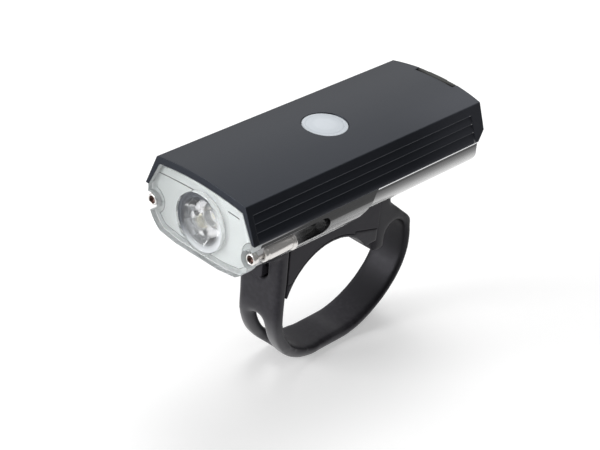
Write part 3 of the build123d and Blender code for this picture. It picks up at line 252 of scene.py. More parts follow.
paper = material("pale paper", (0.8, 0.8, 0.8), 0.9)
direct, gloss_rays = seen_share(paper)
across, along = paper.place()[:2]
reach = distance(across, along)
in_gloss = (1 - direct) * gloss_rays
seen_glow = direct * (0.3 + 0.45 * paper.ramp(reach, 0.1, 0.7))
gloss_glow = in_gloss * (0.04 + 0.96 * (1 - paper.ramp(reach, 0.12, 0.42)))
paper.feed({"Base Color": paper.shade(in_gloss, (0.8, 0.8, 0.8), (0, 0, 0)),
            "Emission Color": paper.shade(seen_glow + gloss_glow, (0, 0, 0), (1, 1, 1)),
            "Emission Strength": 1.0})
floor_half = 3.0
ground = bmesh.new()
bmesh.ops.create_grid(ground, x_segments=1, y_segments=1, size=floor_half)
bmesh.ops.translate(ground, vec=(0, 0, cad_low.z), verts=ground.verts)
floor_data = bpy.data.meshes.new("floor")
ground.to_mesh(floor_data)
ground.free()
floor_data.materials.append(paper.owner)
floor = bpy.data.objects.new("floor", floor_data)
bpy.context.collection.objects.link(floor)

# Saddle and swivel plate. Black glass-filled nylon, injection moulded, with a fine matt
# texture from the mould and slightly rounded edges. The plate is screwed under the head.
nylon = material("textured nylon", (0.015, 0.014, 0.017), 0.5,
                 {"Specular IOR Level": 0.2, "Specular Tint": (0.9, 0.87, 1.0, 1)})
speckle = nylon.noise(0.0004, 3.0)
tone = nylon.shade(nylon.noise(0.004), (0.019, 0.0185, 0.0215), (0.029, 0.0275, 0.032))
nylon.feed({"Base Color": tone, "Roughness": 0.44 + 0.14 * speckle})
nylon.relief(speckle, 0.00003, edge=0.0005)


def dress(finish, *names):
    """Gives CAD pieces a material."""
    for name in names:
        for place in nodes[name].material_slots:
            place.material = finish.owner


dress(nylon, "mount_saddle", "swivel_plate")

# Liner. Soft black rubber, moulded with rounded edges and a toe below the saddle's front,
# and glued into the saddle. The strap shares its rubber. A painted sheen of the floor makes
# it paler outside and low down, and painted shade darkens its rear.
rubber = material("soft black rubber", (0.018, 0.017, 0.02), 0.5,
                  {"Specular IOR Level": 0.25, "Specular Tint": (0.92, 0.9, 1.0, 1)})
dust = rubber.noise(0.0012, 4.0)
across, along, height = rubber.place()
turned_x, turned_z = rubber.facing()[::2]
tone = rubber.shade(rubber.ramp(dust, 0.35, 0.75), (0.016, 0.015, 0.018), (0.026, 0.025, 0.029))
# Painted shade: the rubber is darker towards the rear loop.
painted_rear_shade = rubber.ramp(along, 0.012, 0.024)
tone = rubber.shade(painted_rear_shade, tone, (0.008, 0.008, 0.009))
inside_radius, outside_radius = 16.3 * mm, 18.2 * mm
outside = rubber.ramp(distance(along, height), inside_radius, outside_radius)
facing_down = rubber.ramp(-0.9 * turned_z - 0.7 * turned_x, 0.0, 0.9)
low_down = 1 - rubber.ramp(height, -0.01, 0.003)
in_front = 1 - rubber.ramp(along, -0.003, 0.012)
# Painted sheen: paler where the rubber faces down and out, low down and in front.
painted_floor_sheen = (facing_down + 0.5 * low_down) * outside * in_front
rubber.feed({"Base Color": rubber.shade(painted_floor_sheen, tone, (0.2, 0.2, 0.205)),
             "Roughness": 0.36 + 0.16 * dust})
rubber.relief(rubber.noise(0.0003), 0.00002)


def finished(name, mesh, finish):
    """An object at the origin from a bmesh, shaded smooth, with its material."""
    data = bpy.data.meshes.new(name)
    for face in mesh.faces:
        face.smooth = True
    mesh.to_mesh(data)
    mesh.free()
    data.materials.append(finish.owner)
    piece = bpy.data.objects.new(name, data)
    bpy.context.collection.objects.link(piece)
    return piece


def solids_of(*names):
    """A bmesh with copies of CAD solids, their doubles merged."""
    block = bmesh.new()
    for name in names:
        block.from_mesh(nodes[name].data)
    bmesh.ops.remove_doubles(block, verts=block.verts, dist=0.001 * mm)
    return block


def soft_skin(name, block, voxel, rounds, swell, finish, fewer=lambda spot: 0):
    """One soft skin over closed solids: remeshed with voxels of a size, smoothed in some
    rounds and swelled back, in mm. A spot may get fewer rounds."""
    piece = finished(name, block, finish)
    remesh = piece.modifiers.new("skin", "REMESH")
    remesh.mode, remesh.voxel_size, remesh.use_smooth_shade = "VOXEL", voxel * mm, True
    evaluated = piece.evaluated_get(bpy.context.evaluated_depsgraph_get())
    skin = bpy.data.meshes.new_from_object(evaluated)
    piece.modifiers.clear()
    soft = bmesh.new()
    soft.from_mesh(skin)
    last_turn = {vert: rounds - fewer(vert.co / mm) for vert in soft.verts}
    for turn in range(rounds):
        free = [vert for vert in soft.verts if last_turn[vert] > turn]
        bmesh.ops.smooth_vert(soft, verts=free, factor=0.5,
                              use_axis_x=True, use_axis_y=True, use_axis_z=True)
    soft.normal_update()
    for vert in soft.verts:
        vert.co += vert.normal * swell * mm
    for face in soft.faces:
        face.smooth = True
    soft.to_mesh(piece.data)
    soft.free()
    bpy.data.meshes.remove(skin)
    return piece


liner = soft_skin("liner", solids_of("saddle_pad"), voxel=0.3, rounds=5, swell=0.05,
                  finish=rubber)
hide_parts("saddle_pad")
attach(liner, "mount")

# Strap. One moulding of the same rubber, hooked in front and pinned in the saddle at the
# rear. Its slot is flared to the left, and its rear loop stands slack.
strap_width, strap_thickness, bridge_run = 10.8, 2.8, 0.8
middle_radius = 17.3
slot_half, slot_foot, slot_top, slot_rear = 2.3, -14.5, -1.3, -6.0
flare_outside, flare_inside = 1.75, 1.15
slack, slack_start, slack_run, slack_middle, slack_half = 1.5, 8.0, 10.0, -1.0, 14.0
band = solids_of("strap", "strap_tail")
for vert in band.verts:
    spot = vert.co / mm
    if -slot_half < spot.x < 0 and slot_foot < spot.z < slot_top and spot.y < slot_rear:
        vert.co.x *= flare_outside if spot.yz.length > middle_radius else flare_inside
    if spot.y > slack_start:
        share = max(0, 1 - ((spot.z - slack_middle) / slack_half) ** 2)
        vert.co.y += slack * share * min(1, (spot.y - slack_start) / slack_run) * mm
bridge = bmesh.ops.create_cube(band, size=1.0)["verts"]
bmesh.ops.scale(band, vec=Vector((strap_width, bridge_run, strap_thickness)) * mm, verts=bridge)
bmesh.ops.translate(band, vec=Vector((0, 0, -middle_radius)) * mm, verts=bridge)


rest_front, rest_rear, rest_foot = -21.4, -14.0, 2.0
fewer_per_mm, most_fewer = 1.8, 14


def against_saddle(spot):
    """Fewer rounds of smoothing where the free end lies against the saddle."""
    if not rest_front < spot.y < rest_rear:
        return 0
    return min(most_fewer, fewer_per_mm * max(0, spot.z - rest_foot))


strap = soft_skin("rubber_strap", band, voxel=0.4, rounds=24, swell=0.17, finish=rubber,
                  fewer=against_saddle)
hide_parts("strap", "strap_tail")
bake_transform(strap)

# Pin, screws, washer and nut. Steel, turned or cold headed, then zinc plated. The pin is
# pressed into the saddle, and the screws close the head, its plate and the swivel.
steel = material("zinc plated steel", (0.56, 0.56, 0.58), 0.32, {"Metallic": 1.0})
lay = steel.noise(0.0002, 3.0, stretch=(1, 1, 12))
steel.feed({"Base Color": steel.shade(lay, (0.5, 0.5, 0.51), (0.62, 0.62, 0.64)),
            "Roughness": 0.26 + 0.16 * lay})
steel.relief(lay, 0.000008, edge=0.0001)
dress(steel, "strap_pin", "swivel_screw", "swivel_washer", "swivel_nut", "plate_screws",
      "cover_screws")

# Front casing. Dark grey ABS, moulded with a satin gloss and screwed on from below. Its
# flanks lean in and mirror the pale floor at their foot. A painted highlight runs along the
# edge under the shell, painted light makes the channels of the sleeves and the foot near the
# seam pale, and it shows pale where the window seats.
casing = material("satin grey casing", (0.008, 0.0082, 0.009), 0.2, {"Specular IOR Level": 0.3})


def box_of(name):
    """Lowest and highest corner of a CAD piece, in metres."""
    points = [vert.co for vert in nodes[name].data.vertices]
    return [Vector([pick(point[axis] for point in points) for axis in range(3)])
            for pick in (min, max)]


sleeve_low, sleeve_high = box_of("screw_sleeves")
channel_z = (sleeve_low.z + sleeve_high.z) / 2
channel_x = sleeve_high.x - (sleeve_high.z - channel_z)
across, along, height = casing.place()
forward = -1 * casing.facing()[1]
grain = casing.noise(0.0005, 3.0)
foot_low, foot_top = 28.5 * mm, 32.8 * mm
foot = 1 - casing.ramp(height, foot_low, foot_top)
# Painted sheen: the foot is paler towards the seam.
painted_foot_sheen = foot * casing.ramp(along, -0.02, -0.002)
edge_z, edge_front, edge_rear = 35.05 * mm, -34 * mm, -20 * mm
# Painted highlight along the edge under the shell.
painted_edge_highlight = casing.ramp(height, edge_z, edge_z + 0.07 * mm)
painted_edge_highlight = painted_edge_highlight * (1 - casing.ramp(along, edge_front, edge_rear))
channel_radius, channel_front, channel_rear = 2.3 * mm, -26 * mm, -20 * mm
off_axis = distance(abs(across) - channel_x, height - channel_z)
# Painted light: the walls of the sleeves' channels are pale.
painted_channel_light = 1 - casing.ramp(off_axis, channel_radius, channel_radius + 0.3 * mm)
painted_channel_light = painted_channel_light * (1 - casing.ramp(along, channel_front, channel_rear))
seat_y = -36 * mm
window_seat = (along < seat_y) * casing.ramp(forward, 0.5, 0.8)
# The pale tone of the painted highlight and the painted light in the channels.
painted_light_tone = (0.5, 0.5, 0.51)
tone = casing.shade(grain, (0.007, 0.0073, 0.008), (0.011, 0.0113, 0.0125))
tone = casing.shade(painted_edge_highlight, tone, painted_light_tone)
tone = casing.shade(painted_channel_light, tone, painted_light_tone)
tone = casing.shade(painted_foot_sheen, tone, (0.22, 0.22, 0.225))
casing.feed({"Base Color": casing.shade(window_seat, tone, (0.55, 0.58, 0.58)),
             "Roughness": 0.12 + 0.05 * grain,
             "Coat Weight": foot, "Coat IOR": 3.4, "Coat Roughness": 0.1})
lean_below, lean = 32.5 * mm, 0.3
leaning = casing.add("ShaderNodeMath", {"operation": "MINIMUM"}, {0: height - lean_below, 1: 0.0})
casing.relief(grain * 0.000003 + leaning * lean, 1.0)
dress(casing, "front_casing")

# Battery cover. Black polycarbonate, moulded with a mirror gloss and screwed on from
# below. A thin painted highlight, bright and metallic, runs just under the shell and down
# the S-shaped seam.
cover = material("gloss black cover", (0.01, 0.01, 0.011), 0.07, {"Specular IOR Level": 0.55})
along, height = cover.place()[1:]
seam_foot, seam_height = 24.6 * mm, 11.6 * mm
seam_front, seam_reach = -1.7 * mm, 5.2 * mm
seam = cover.add("ShaderNodeFloatCurve", {}, {"Value": (height - seam_foot) / seam_height})
curve = seam.output.node.mapping.curves[0]
curve.points[0].location, curve.points[1].location = (0, 0), (1, 1)
for height_share, reach_share in ((0.39, 0.06), (0.60, 0.42), (0.76, 0.56)):
    curve.points.new(height_share, reach_share)
seam.output.node.mapping.update()
behind_seam = along - (seam_front + seam_reach * seam)
# Painted highlight: a thin bright line under the shell and beside the seam.
highlight_width, highlight_low, highlight_top = 0.2 * mm, 34.7 * mm, 35.2 * mm
beside_seam = 1 - cover.ramp(behind_seam, highlight_width, highlight_width + 0.1 * mm)
beside_seam = beside_seam * cover.ramp(height, 0.03, 0.0335)
under_shell = cover.ramp(height, highlight_low, highlight_low + 0.06 * mm)
under_shell = under_shell * (1 - cover.ramp(height, highlight_top, highlight_top + 0.15 * mm))
painted_seam_highlight = under_shell + (1 - under_shell) * beside_seam
foot = 1 - cover.ramp(height, 0.0305, 0.0342)
cover.feed({"Base Color": cover.shade(painted_seam_highlight, (0.01, 0.01, 0.011), (0.9, 0.9, 0.91)),
            "Metallic": 0.75 * painted_seam_highlight, "Roughness": 0.06 + 0.03 * cover.noise(0.003),
            "Coat Weight": foot, "Coat IOR": 2.2, "Coat Roughness": 0.05})
lean_below, lean = 34 * mm, 0.25
leaning = cover.add("ShaderNodeMath", {"operation": "MINIMUM"}, {0: height - lean_below, 1: 0.0})
cover.relief(painted_seam_highlight * 0.00004 + leaning * lean, 1.0)
dress(cover, "battery_cover")

# Battery. A lithium pouch in silver foil under a strip of black foam, with a small
# protection board across its front end.
foil = material("battery foil", (0.6, 0.6, 0.6), 0.35, {"Metallic": 0.8})
creases = foil.noise(0.0025, 5.0, stretch=(1, 0.4, 1))
foil.feed({"Base Color": foil.shade(creases, (0.5, 0.5, 0.5), (0.72, 0.72, 0.71)),
           "Roughness": 0.25 + 0.25 * creases})
foil.relief(creases, 0.00008)
dress(foil, "battery_cell")
foam = material("black foam", (0.03, 0.03, 0.03), 0.95)
pore_size = 0.0004
pores = foam.add("ShaderNodeTexVoronoi", {}, {"Vector": foam.point(), "Scale": 1 / pore_size})
foam.feed({"Base Color": foam.shade(pores, (0.015, 0.015, 0.015), (0.07, 0.07, 0.07))})
foam.relief(pores, 0.0001)
dress(foam, "battery_foam")

# Circuit boards. Green solder mask over copper tracks on glass-fibre board. The main one
# lies on the inner frame, and the small one is soldered to the battery.
board = material("green circuit board", (0.02, 0.16, 0.07), 0.3)
tracks_per_metre = 420.0
tracks = board.add("ShaderNodeTexBrick", {"offset": 0.3, "squash": 0.6},
                   {"Vector": board.point(), "Scale": tracks_per_metre,
                    "Mortar Size": 0.09, "Mortar Smooth": 0.3}, 1)
board.feed({"Base Color": board.shade(tracks, (0.015, 0.12, 0.05), (0.05, 0.26, 0.1)),
            "Roughness": 0.28 + 0.1 * tracks})
board.relief(tracks, 0.00004)
dress(board, "circuit_board", "protection_board")

# Chip, coil, switch and connector. Black mouldings of epoxy and nylon with a fine dull
# grain, soldered on the main circuit board.
epoxy = material("black epoxy", (0.02, 0.02, 0.021), 0.45)
dots = epoxy.noise(0.00015, 3.0)
epoxy.feed({"Base Color": epoxy.shade(dots, (0.014, 0.014, 0.015), (0.035, 0.035, 0.036)),
            "Roughness": 0.4 + 0.2 * dots})
epoxy.relief(dots, 0.00002, edge=0.0001)
dress(epoxy, "driver_chip", "power_coil", "tact_switch", "battery_connector")

# Inner frame, rear cap and button retainer. Black ABS as moulded, with flow marks. The
# frame parts battery and board, the cap closes the rear round the charging socket, and the
# retainer keeps the button from below.
inner = material("black inner plastic", (0.018, 0.018, 0.02), 0.4)
flow = inner.noise(0.002, 3.0, stretch=(1, 0.3, 1))
inner.feed({"Base Color": inner.shade(flow, (0.014, 0.014, 0.016), (0.024, 0.024, 0.027)),
            "Roughness": 0.35 + 0.15 * flow})
inner.relief(flow, 0.00002, edge=0.0002)
dress(inner, "inner_frame", "rear_cap", "button_retainer")

# Wires. Stranded copper in PVC, one red and one black in each pair, soldered between
# battery, circuit board and light source.
for colour_name, dark, light in (("red", (0.38, 0.012, 0.01), (0.55, 0.03, 0.02)),
                                 ("black", (0.012, 0.012, 0.012), (0.035, 0.035, 0.035))):
    insulation = material(f"{colour_name} insulation", dark, 0.4)
    scuffs = insulation.noise(0.0008, 3.0)
    insulation.feed({"Base Color": insulation.shade(scuffs, dark, light),
                     "Roughness": 0.35 + 0.2 * scuffs})
    insulation.relief(scuffs, 0.00003)
    dress(insulation, f"battery_wire_{colour_name}", f"led_wire_{colour_name}")

# Light source. A pale yellow phosphor dome on a white ceramic base, soldered to a board
# with a metal core. The chip is given a faint painted glow.
phosphor = material("phosphor", (0.9, 0.75, 0.25), 0.25)
along = phosphor.place()[1]
dome_foot = -30.6 * mm
on_base = phosphor.ramp(along, dome_foot, dome_foot + 0.1 * mm)
# Painted glow: a faint emission on the chip.
phosphor.feed({"Base Color": phosphor.shade(on_base, (0.92, 0.89, 0.76), (0.88, 0.88, 0.86)),
               "Emission Color": (1.0, 0.9, 0.6, 1), "Emission Strength": 0.25})
phosphor.relief(phosphor.noise(0.0002), 0.00001)
dress(phosphor, "led_chip")
white_board = material("white solder mask", (0.78, 0.78, 0.76), 0.35)
marks = white_board.noise(0.0015)
white_board.feed({"Base Color": white_board.shade(marks, (0.7, 0.7, 0.68), (0.84, 0.84, 0.82)),
                  "Roughness": 0.3 + 0.15 * marks})
dress(white_board, "led_board")

# Heat sink. Extruded aluminium with saw-cut fins, bead blasted, and bonded to the back of
# the light source's board.
aluminium = material("blasted aluminium", (0.6, 0.61, 0.62), 0.45, {"Metallic": 1.0})
blast = aluminium.noise(0.00015)
aluminium.feed({"Base Color": aluminium.shade(blast, (0.52, 0.53, 0.54), (0.68, 0.69, 0.7)),
                "Roughness": 0.38 + 0.2 * blast})
aluminium.relief(blast, 0.00003, edge=0.0001)
dress(aluminium, "heat_sink")

# Lens holder. A hollow cone of ABS between light source and lens, plated bright so that
# stray light goes forward.
plated = material("bright plating", (0.86, 0.87, 0.88), 0.3, {"Metallic": 0.7})
waves = plated.noise(0.0015)
plated.feed({"Base Color": plated.shade(waves, (0.82, 0.83, 0.84), (0.92, 0.93, 0.94)),
             "Roughness": 0.18 + 0.12 * waves})
plated.relief(waves, 0.00004)
dress(plated, "lens_holder")

# Lens seal. A ring moulded in milky silicone and squeezed behind the lens's rim. It shows
# dark at its upper left, where the lens shades it.
lens_low, lens_high = box_of("lens")
lens_z = (lens_low.z + lens_high.z) / 2
silicone = material("milky silicone", (0.6, 0.62, 0.63), 0.45)
haze = silicone.noise(0.0005, 3.0)
across, height = silicone.place()[::2]
# Painted shade: the ring is darker towards its upper left.
painted_shade_slope = silicone.ramp(across - (height - lens_z), -0.006, 0.004)
tone = silicone.shade(haze, (0.78, 0.8, 0.81), (0.88, 0.9, 0.91))
silicone.feed({"Base Color": silicone.shade(painted_shade_slope, (0.2, 0.21, 0.22), tone),
               "Roughness": 0.4 + 0.15 * haze})
silicone.relief(haze, 0.00001)
dress(silicone, "lens_seal")

# Lens. A collimator moulded in clear acrylic and set in the lens holder. Its surface
# ripples faintly, and its rim is hazy, with painted shade darkening the haze towards the
# upper left.
acrylic = material("clear acrylic", (0.95, 0.96, 0.97), 0.04,
                   {"Transmission Weight": 1.0, "IOR": 1.49})
ripples = acrylic.noise(0.003)
acrylic.feed({"Roughness": 0.02 + 0.03 * ripples})
acrylic.relief(ripples, 0.00001)
across, height = acrylic.place()[::2]
level = height - lens_z
clear_radius, rim_radius = 5 * mm, 7.2 * mm
rim = acrylic.ramp(distance(across, level), clear_radius, rim_radius)
# Painted shade: the hazy rim is darker towards the upper left.
painted_shade_slope = acrylic.ramp(across - level, -0.005, 0.005)
painted_rim_tone = acrylic.shade(painted_shade_slope, (0.07, 0.08, 0.1), (0.86, 0.89, 0.92))


def frosted(finish, share, tone, roughness):
    """Mixes a share of a frosted surface into a clear one."""
    clear = Socket(finish, finish.last.outputs["BSDF"])
    frost = finish.add("ShaderNodeBsdfPrincipled", {},
                       {"Base Color": tone, "Roughness": roughness}, "BSDF")
    mixed = finish.add("ShaderNodeMixShader", {}, {0: share, 1: clear, 2: frost})
    finish.join(mixed, finish.tree.nodes["Material Output"].inputs["Surface"])


frosted(acrylic, 0.03 + 0.06 * ripples + 0.6 * rim, painted_rim_tone, roughness=0.3)
dress(acrylic, "lens")

# Bezel. Pale satin ABS, moulded as a frame round the lens and clamped behind the window.
# A bowed groove in two stretches runs along its top, filled dark with painted shade, and
# painted shade darkens the bezel towards its left.
bezel = material("pale bezel", (0.84, 0.86, 0.86), 0.35)
across, height = bezel.place()[::2]
groove_top, groove_middle, groove_bow = 40.4 * mm, -1 * mm, 3.5
offset = across - groove_middle
off_groove = abs(height - (groove_top - groove_bow * offset * offset))
fade = 0.2 * mm
in_stretches = 0.0
for left_end, right_end in ((-15.4 * mm, 2.4 * mm), (8 * mm, 11.6 * mm)):
    past_left = bezel.ramp(across, left_end - fade, left_end + fade)
    past_right = bezel.ramp(across, right_end - fade, right_end + fade)
    in_stretches = in_stretches + past_left * (1 - past_right)
groove_floor, groove_half = 0.08 * mm, 0.2 * mm
# The groove, filled dark with painted shade.
groove_and_shade = (1 - bezel.ramp(off_groove, groove_floor, groove_half)) * in_stretches
satin = bezel.noise(0.0006, 3.0)
tone = bezel.shade(satin, (0.82, 0.85, 0.845), (0.87, 0.9, 0.895))
# Painted shade: the bezel is darker towards the left.
tone = bezel.shade(bezel.ramp(across, -0.017, 0.004), (0.54, 0.57, 0.565), tone)
bezel.feed({"Base Color": bezel.shade(groove_and_shade, tone, (0.05, 0.05, 0.055)),
            "Roughness": 0.3 + 0.15 * satin})
bezel.relief(1 - groove_and_shade, 0.0002)
dress(bezel, "front_bezel")

# Window. A thick plate of clear polycarbonate, polished in front and in the lens's hole,
# frosted on its sides, and held by the two side screws.
window = material("clear window", (0.97, 0.98, 0.98), 0.03,
                  {"Transmission Weight": 1.0, "IOR": 1.49})
across, height = window.place()[::2]
hole_radius = 7.9 * mm
outside_hole = window.ramp(distance(across, height - lens_z), hole_radius, hole_radius + 0.3 * mm)
side = (1 - window.ramp(abs(window.facing()[1]), 0.5, 0.8)) * outside_hole
window.feed({"Base Color": window.shade(side, (0.97, 0.98, 0.98), (0.85, 0.88, 0.88)),
             "Roughness": 0.02 + 0.4 * side})
scatter = window.noise(0.0004, 3.0)
side_tone = window.shade(scatter, (0.66, 0.69, 0.7), (0.8, 0.83, 0.84))
frosted(window, 0.7 * side, side_tone, roughness=0.5)
dress(window, "front_window")

# Side screws. Nickel plated socket-head screws, each with a ferrule round its neck. They
# pull the window against the casing's ears. Their sockets are painted dark brown as shade.
nickel = material("bright nickel", (0.72, 0.69, 0.66), 0.12, {"Metallic": 0.7})
across, along, height = nickel.place()
wear = nickel.noise(0.0006, 4.0)
off_axis = distance(abs(across) - channel_x, height - channel_z)
socket_radius, neck_y = 0.98 * mm, -38 * mm
# Painted shade: the sockets of the screw heads are dark brown.
painted_socket_shade = 1 - nickel.ramp(off_axis, socket_radius, socket_radius + 0.1 * mm)
painted_socket_shade = painted_socket_shade * (along < neck_y)
tone = nickel.shade(wear, (0.84, 0.81, 0.78), (0.92, 0.9, 0.88))
nickel.feed({"Base Color": nickel.shade(painted_socket_shade, tone, (0.09, 0.05, 0.04)),
             "Roughness": 0.2 + 0.1 * wear})
nickel.relief(wear, 0.000001)


def turned(mesh, profile, axis_x, axis_z, steps=48):
    """A piece turned along Y: its profile, pairs of a place along and a radius in mm, is
    spun once round."""
    points = [mesh.verts.new((axis_x, y * mm, axis_z + radius * mm)) for y, radius in profile]
    edges = [mesh.edges.new(pair) for pair in zip(points, points[1:])]
    bmesh.ops.spin(mesh, geom=points + edges, cent=(axis_x, 0, axis_z), axis=(0, 1, 0),
                   angle=2 * pi, steps=steps, use_merge=True)
    bmesh.ops.remove_doubles(mesh, verts=mesh.verts, dist=0.002 * mm)
    bmesh.ops.recalc_face_normals(mesh, faces=mesh.faces)


socket_floor, head_front, head_back, shank_end = -39.0, -39.85, -38.3, -28.3
head = [(socket_floor, 0), (socket_floor, 0.85), (-39.7, 0.95), (head_front, 1.1),
        (head_front, 1.3), (-39.7, 1.47), (-39.5, 1.5), (-38.55, 1.5), (-38.35, 1.42),
        (head_back, 1.0), (-38.28, 0.95)]
shank = [(-38.28, 0.95), (-28.6, 0.98), (shank_end, 0.7), (shank_end, 0)]
screws = bmesh.new()
for side_x in (-channel_x, channel_x):
    turned(screws, head, side_x, channel_z)
    turned(screws, shank, side_x, channel_z, steps=32)
screw_pair = finished("socket_screws", screws, nickel)
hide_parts("side_screws")
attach(screw_pair, "head")

# Sleeves. Bright brass tubes, nickel plated, that the side screws pull against. Each has
# a collar in front, a plain waist and a wider ring at the rear.
bore, waist, ring = 1.05, 1.9, 2.24
sleeve_front, sleeve_rear = -36.35, -26.55
collar = [(sleeve_front, bore), (sleeve_front, 1.7), (-36.2, waist), (-35.2, waist), (-35.1, 1.8),
          (-34.95, 1.8), (-34.85, waist)]
rear_ring = [(-27.75, waist), (-27.65, 1.85), (-27.5, 1.85), (-27.4, 2.1), (-27.3, ring),
             (-26.75, ring), (-26.6, 2.1), (sleeve_rear, waist), (sleeve_rear, bore)]
sleeves = bmesh.new()
for side_x in (-channel_x, channel_x):
    turned(sleeves, collar + rear_ring + collar[:1], side_x, channel_z)
sleeve_pair = finished("nickel_sleeves", sleeves, nickel)
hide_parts("screw_sleeves")
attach(sleeve_pair, "head")

# Top shell. Black ABS with a satin grain, slightly blue, moulded in one piece and screwed
# down on the casings. Painted highlights run along the crests of its bevels' ribs, with
# bright painted glints at their rear ends, and painted light makes the foot of the bevels
# and the rear right of the roof paler.
shell = material("satin black shell", (0.011, 0.012, 0.0155), 0.34,
                 {"Specular IOR Level": 0.5, "Specular Tint": (0.74, 0.83, 1.0, 1)})
across, along, height = shell.place()
grain = shell.noise(0.00035, 3.0)
cloud = shell.noise(0.02)
bevel_x, rib_front, rib_rear, rib_end_y = 15.1 * mm, -38.8 * mm, 37.5 * mm, 37.1 * mm
on_bevel = shell.ramp(abs(across), bevel_x, bevel_x + 0.2 * mm)
on_bevel = on_bevel * (along > rib_front) * (along < rib_rear)
crest_floor, crest_half = 0.04 * mm, 0.16 * mm
# Painted highlights along the ribs' crests and the foot of the bevels.
painted_rib_highlight = 0.0
for rib_z in (42.68 * mm, 40.7 * mm, 38.71 * mm):
    painted_rib_highlight = painted_rib_highlight + (1 - shell.ramp(abs(height - rib_z), crest_floor, crest_half))
lowest, rib_highlight_top = 36.3 * mm, 37.3 * mm
painted_rib_highlight = (painted_rib_highlight + 0.7 * (1 - shell.ramp(height, lowest, rib_highlight_top))) * on_bevel
# Painted glints at the rear ends of the ribs.
rib_end_glint = 1 - shell.ramp(abs(along - rib_end_y), 0.1 * mm, 0.3 * mm)
# Painted light: the roof is paler towards its rear right.
painted_rear_light = shell.ramp(along, 10 * mm, 40 * mm) * shell.ramp(across, 0.0, 14 * mm)
tone = shell.shade(cloud, (0.008, 0.009, 0.012), (0.013, 0.014, 0.018))
tone = shell.shade(painted_rear_light, tone, (0.03, 0.031, 0.037))
tone = shell.shade(painted_rib_highlight, tone, (0.05, 0.052, 0.06))
shell.feed({"Base Color": shell.shade(painted_rib_highlight * rib_end_glint, tone, (0.45, 0.45, 0.46)),
            "Roughness": 0.29 + 0.06 * grain + 0.04 * cloud})
brow = shell.ramp(-1 * shell.facing()[1], 0.6, 0.9)
brow_lean = 0.26
shell.relief(grain * 0.000012 - height * brow * brow_lean, 1.0, edge=0.00035)
dress(shell, "top_shell")

# Power button. Frosted, milky polycarbonate over a light, a little clearer in the middle,
# with a thin pressed ring near its edge. It sits in the shell's hole and slides down.
milky = material("frosted button", (0.62, 0.66, 0.7), 0.35,
                 {"Subsurface Weight": 0.15, "Subsurface Radius": (0.002, 0.002, 0.002),
                  "Subsurface Scale": 0.5})
button_y, ring_radius = 0.35 * mm, 4.7 * mm
clear_radius, milky_radius, ring_floor, ring_half = 2.2 * mm, 3.6 * mm, 0.08 * mm, 0.2 * mm
across, along = milky.place()[:2]
radius = distance(across, along - button_y)
centre = 1 - milky.ramp(radius, clear_radius, milky_radius)
ring = 1 - milky.ramp(abs(radius - ring_radius), ring_floor, ring_half)
frost = milky.noise(0.0004, 3.0)
tone = milky.shade(centre, (0.57, 0.61, 0.65), (0.62, 0.66, 0.7))
# Painted shade: the pressed ring is a little darker.
milky.feed({"Base Color": milky.shade(ring * 0.25, tone, (0.4, 0.43, 0.46)),
            "Roughness": 0.32 + 0.12 * frost})
milky.relief(frost * 0.3 - ring, 0.00004, edge=0.0002)
dress(milky, "power_button")

# Plunger of the switch, and the light beside it. The plunger is white acetal and moves
# with the button. The light is clear green epoxy, soldered on the board.
acetal = material("white acetal", (0.6, 0.6, 0.58), 0.4)
tone = acetal.shade(acetal.noise(0.0006), (0.54, 0.54, 0.52), (0.66, 0.66, 0.64))
acetal.feed({"Base Color": tone})
acetal.relief(acetal.noise(0.0002), 0.00001, edge=0.0001)
dress(acetal, "switch_plunger")
green = material("green status light", (0.25, 0.7, 0.3), 0.2, {"Transmission Weight": 0.3})
tone = green.shade(green.noise(0.0004), (0.2, 0.62, 0.26), (0.32, 0.78, 0.36))
green.feed({"Base Color": tone})
dress(green, "status_led")

# Charging socket. A shell folded from nickel plated steel sheet, open at the rear and
# soldered at the end of the main circuit board.
port = material("folded nickel shell", (0.62, 0.62, 0.63), 0.25, {"Metallic": 1.0})
drawn = port.noise(0.0003, 3.0, stretch=(1, 0.1, 1))
port.feed({"Base Color": port.shade(drawn, (0.52, 0.52, 0.53), (0.7, 0.7, 0.71)),
           "Roughness": 0.2 + 0.2 * drawn})
port.relief(drawn, 0.000015)
dress(port, "usb_socket")

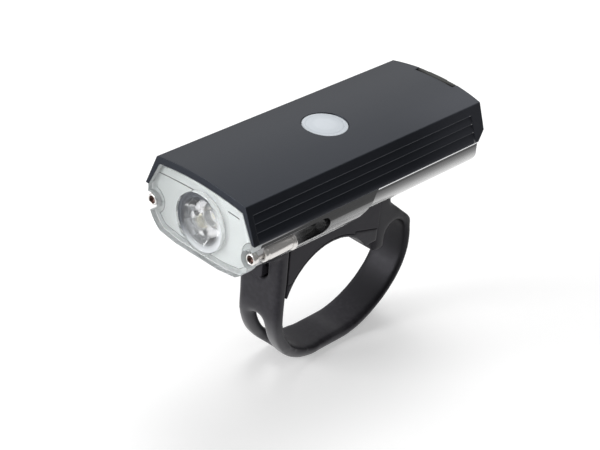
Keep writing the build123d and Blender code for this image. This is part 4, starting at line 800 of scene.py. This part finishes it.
# Cover of the charging socket. Grey-black rubber, with a lip for the fingertip in the
# shell's notch, held by a thin web at its foot. Its front edge is painted dark as shade.
lid_rubber = material("grey lid rubber", (0.07, 0.07, 0.068), 0.6)
bloom = lid_rubber.noise(0.0008, 4.0)
across, along = lid_rubber.place()[:2]
edge_y, edge_bow = 41.2 * mm, 13.2
# Painted shade: the lip's front edge is dark.
behind_painted_shade = lid_rubber.ramp(along - edge_bow * across * across, edge_y, edge_y + 0.5 * mm)
tone = lid_rubber.shade(bloom, (0.033, 0.034, 0.032), (0.058, 0.059, 0.056))
lid_rubber.feed({"Base Color": lid_rubber.shade(behind_painted_shade, (0.008, 0.008, 0.008), tone),
                 "Roughness": 0.52 + 0.16 * bloom})
lid_rubber.relief(bloom, 0.00003)
web_top = 43.2
lip_half, lip_foot, scoop_depth = 6.15, 42.3, 0.45
front_end, front_bow = 41.0, 0.5
rear_end, rear_radius = 42.68, 106.5
roof_top, roof_radius = 46.1, 91.0
lip = solids_of("usb_cover")
bmesh.ops.bisect_plane(lip, geom=lip.verts[:] + lip.edges[:] + lip.faces[:],
                       plane_co=(0, 0, web_top * mm), plane_no=(0, 0, 1), clear_outer=True)
bmesh.ops.holes_fill(lip, edges=[edge for edge in lip.edges if edge.is_boundary])
crest = bmesh.ops.create_grid(lip, x_segments=24, y_segments=4, size=0.5)["verts"]
for vert in crest:
    reach, depth = 2 * vert.co.x, vert.co.y + 0.5
    x = lip_half * reach
    front, rear = front_end + front_bow * reach * reach, rear_end - x * x / (2 * rear_radius)
    scoop = scoop_depth * (1 - reach * reach) * (1 - depth)
    roof = roof_top - x * x / (2 * roof_radius)
    vert.co = Vector((x, front + depth * (rear - front), roof - scoop)) * mm
crest_faces = list({face for vert in crest for face in vert.link_faces})
below = bmesh.ops.extrude_face_region(lip, geom=crest_faces)["geom"]
for piece in below:
    if isinstance(piece, bmesh.types.BMVert):
        piece.co.z = lip_foot * mm
bmesh.ops.recalc_face_normals(lip, faces=lip.faces)
lid = soft_skin("socket_lid", lip, voxel=0.13, rounds=4, swell=0.02, finish=lid_rubber)
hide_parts("usb_cover")
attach(lid, "flap")
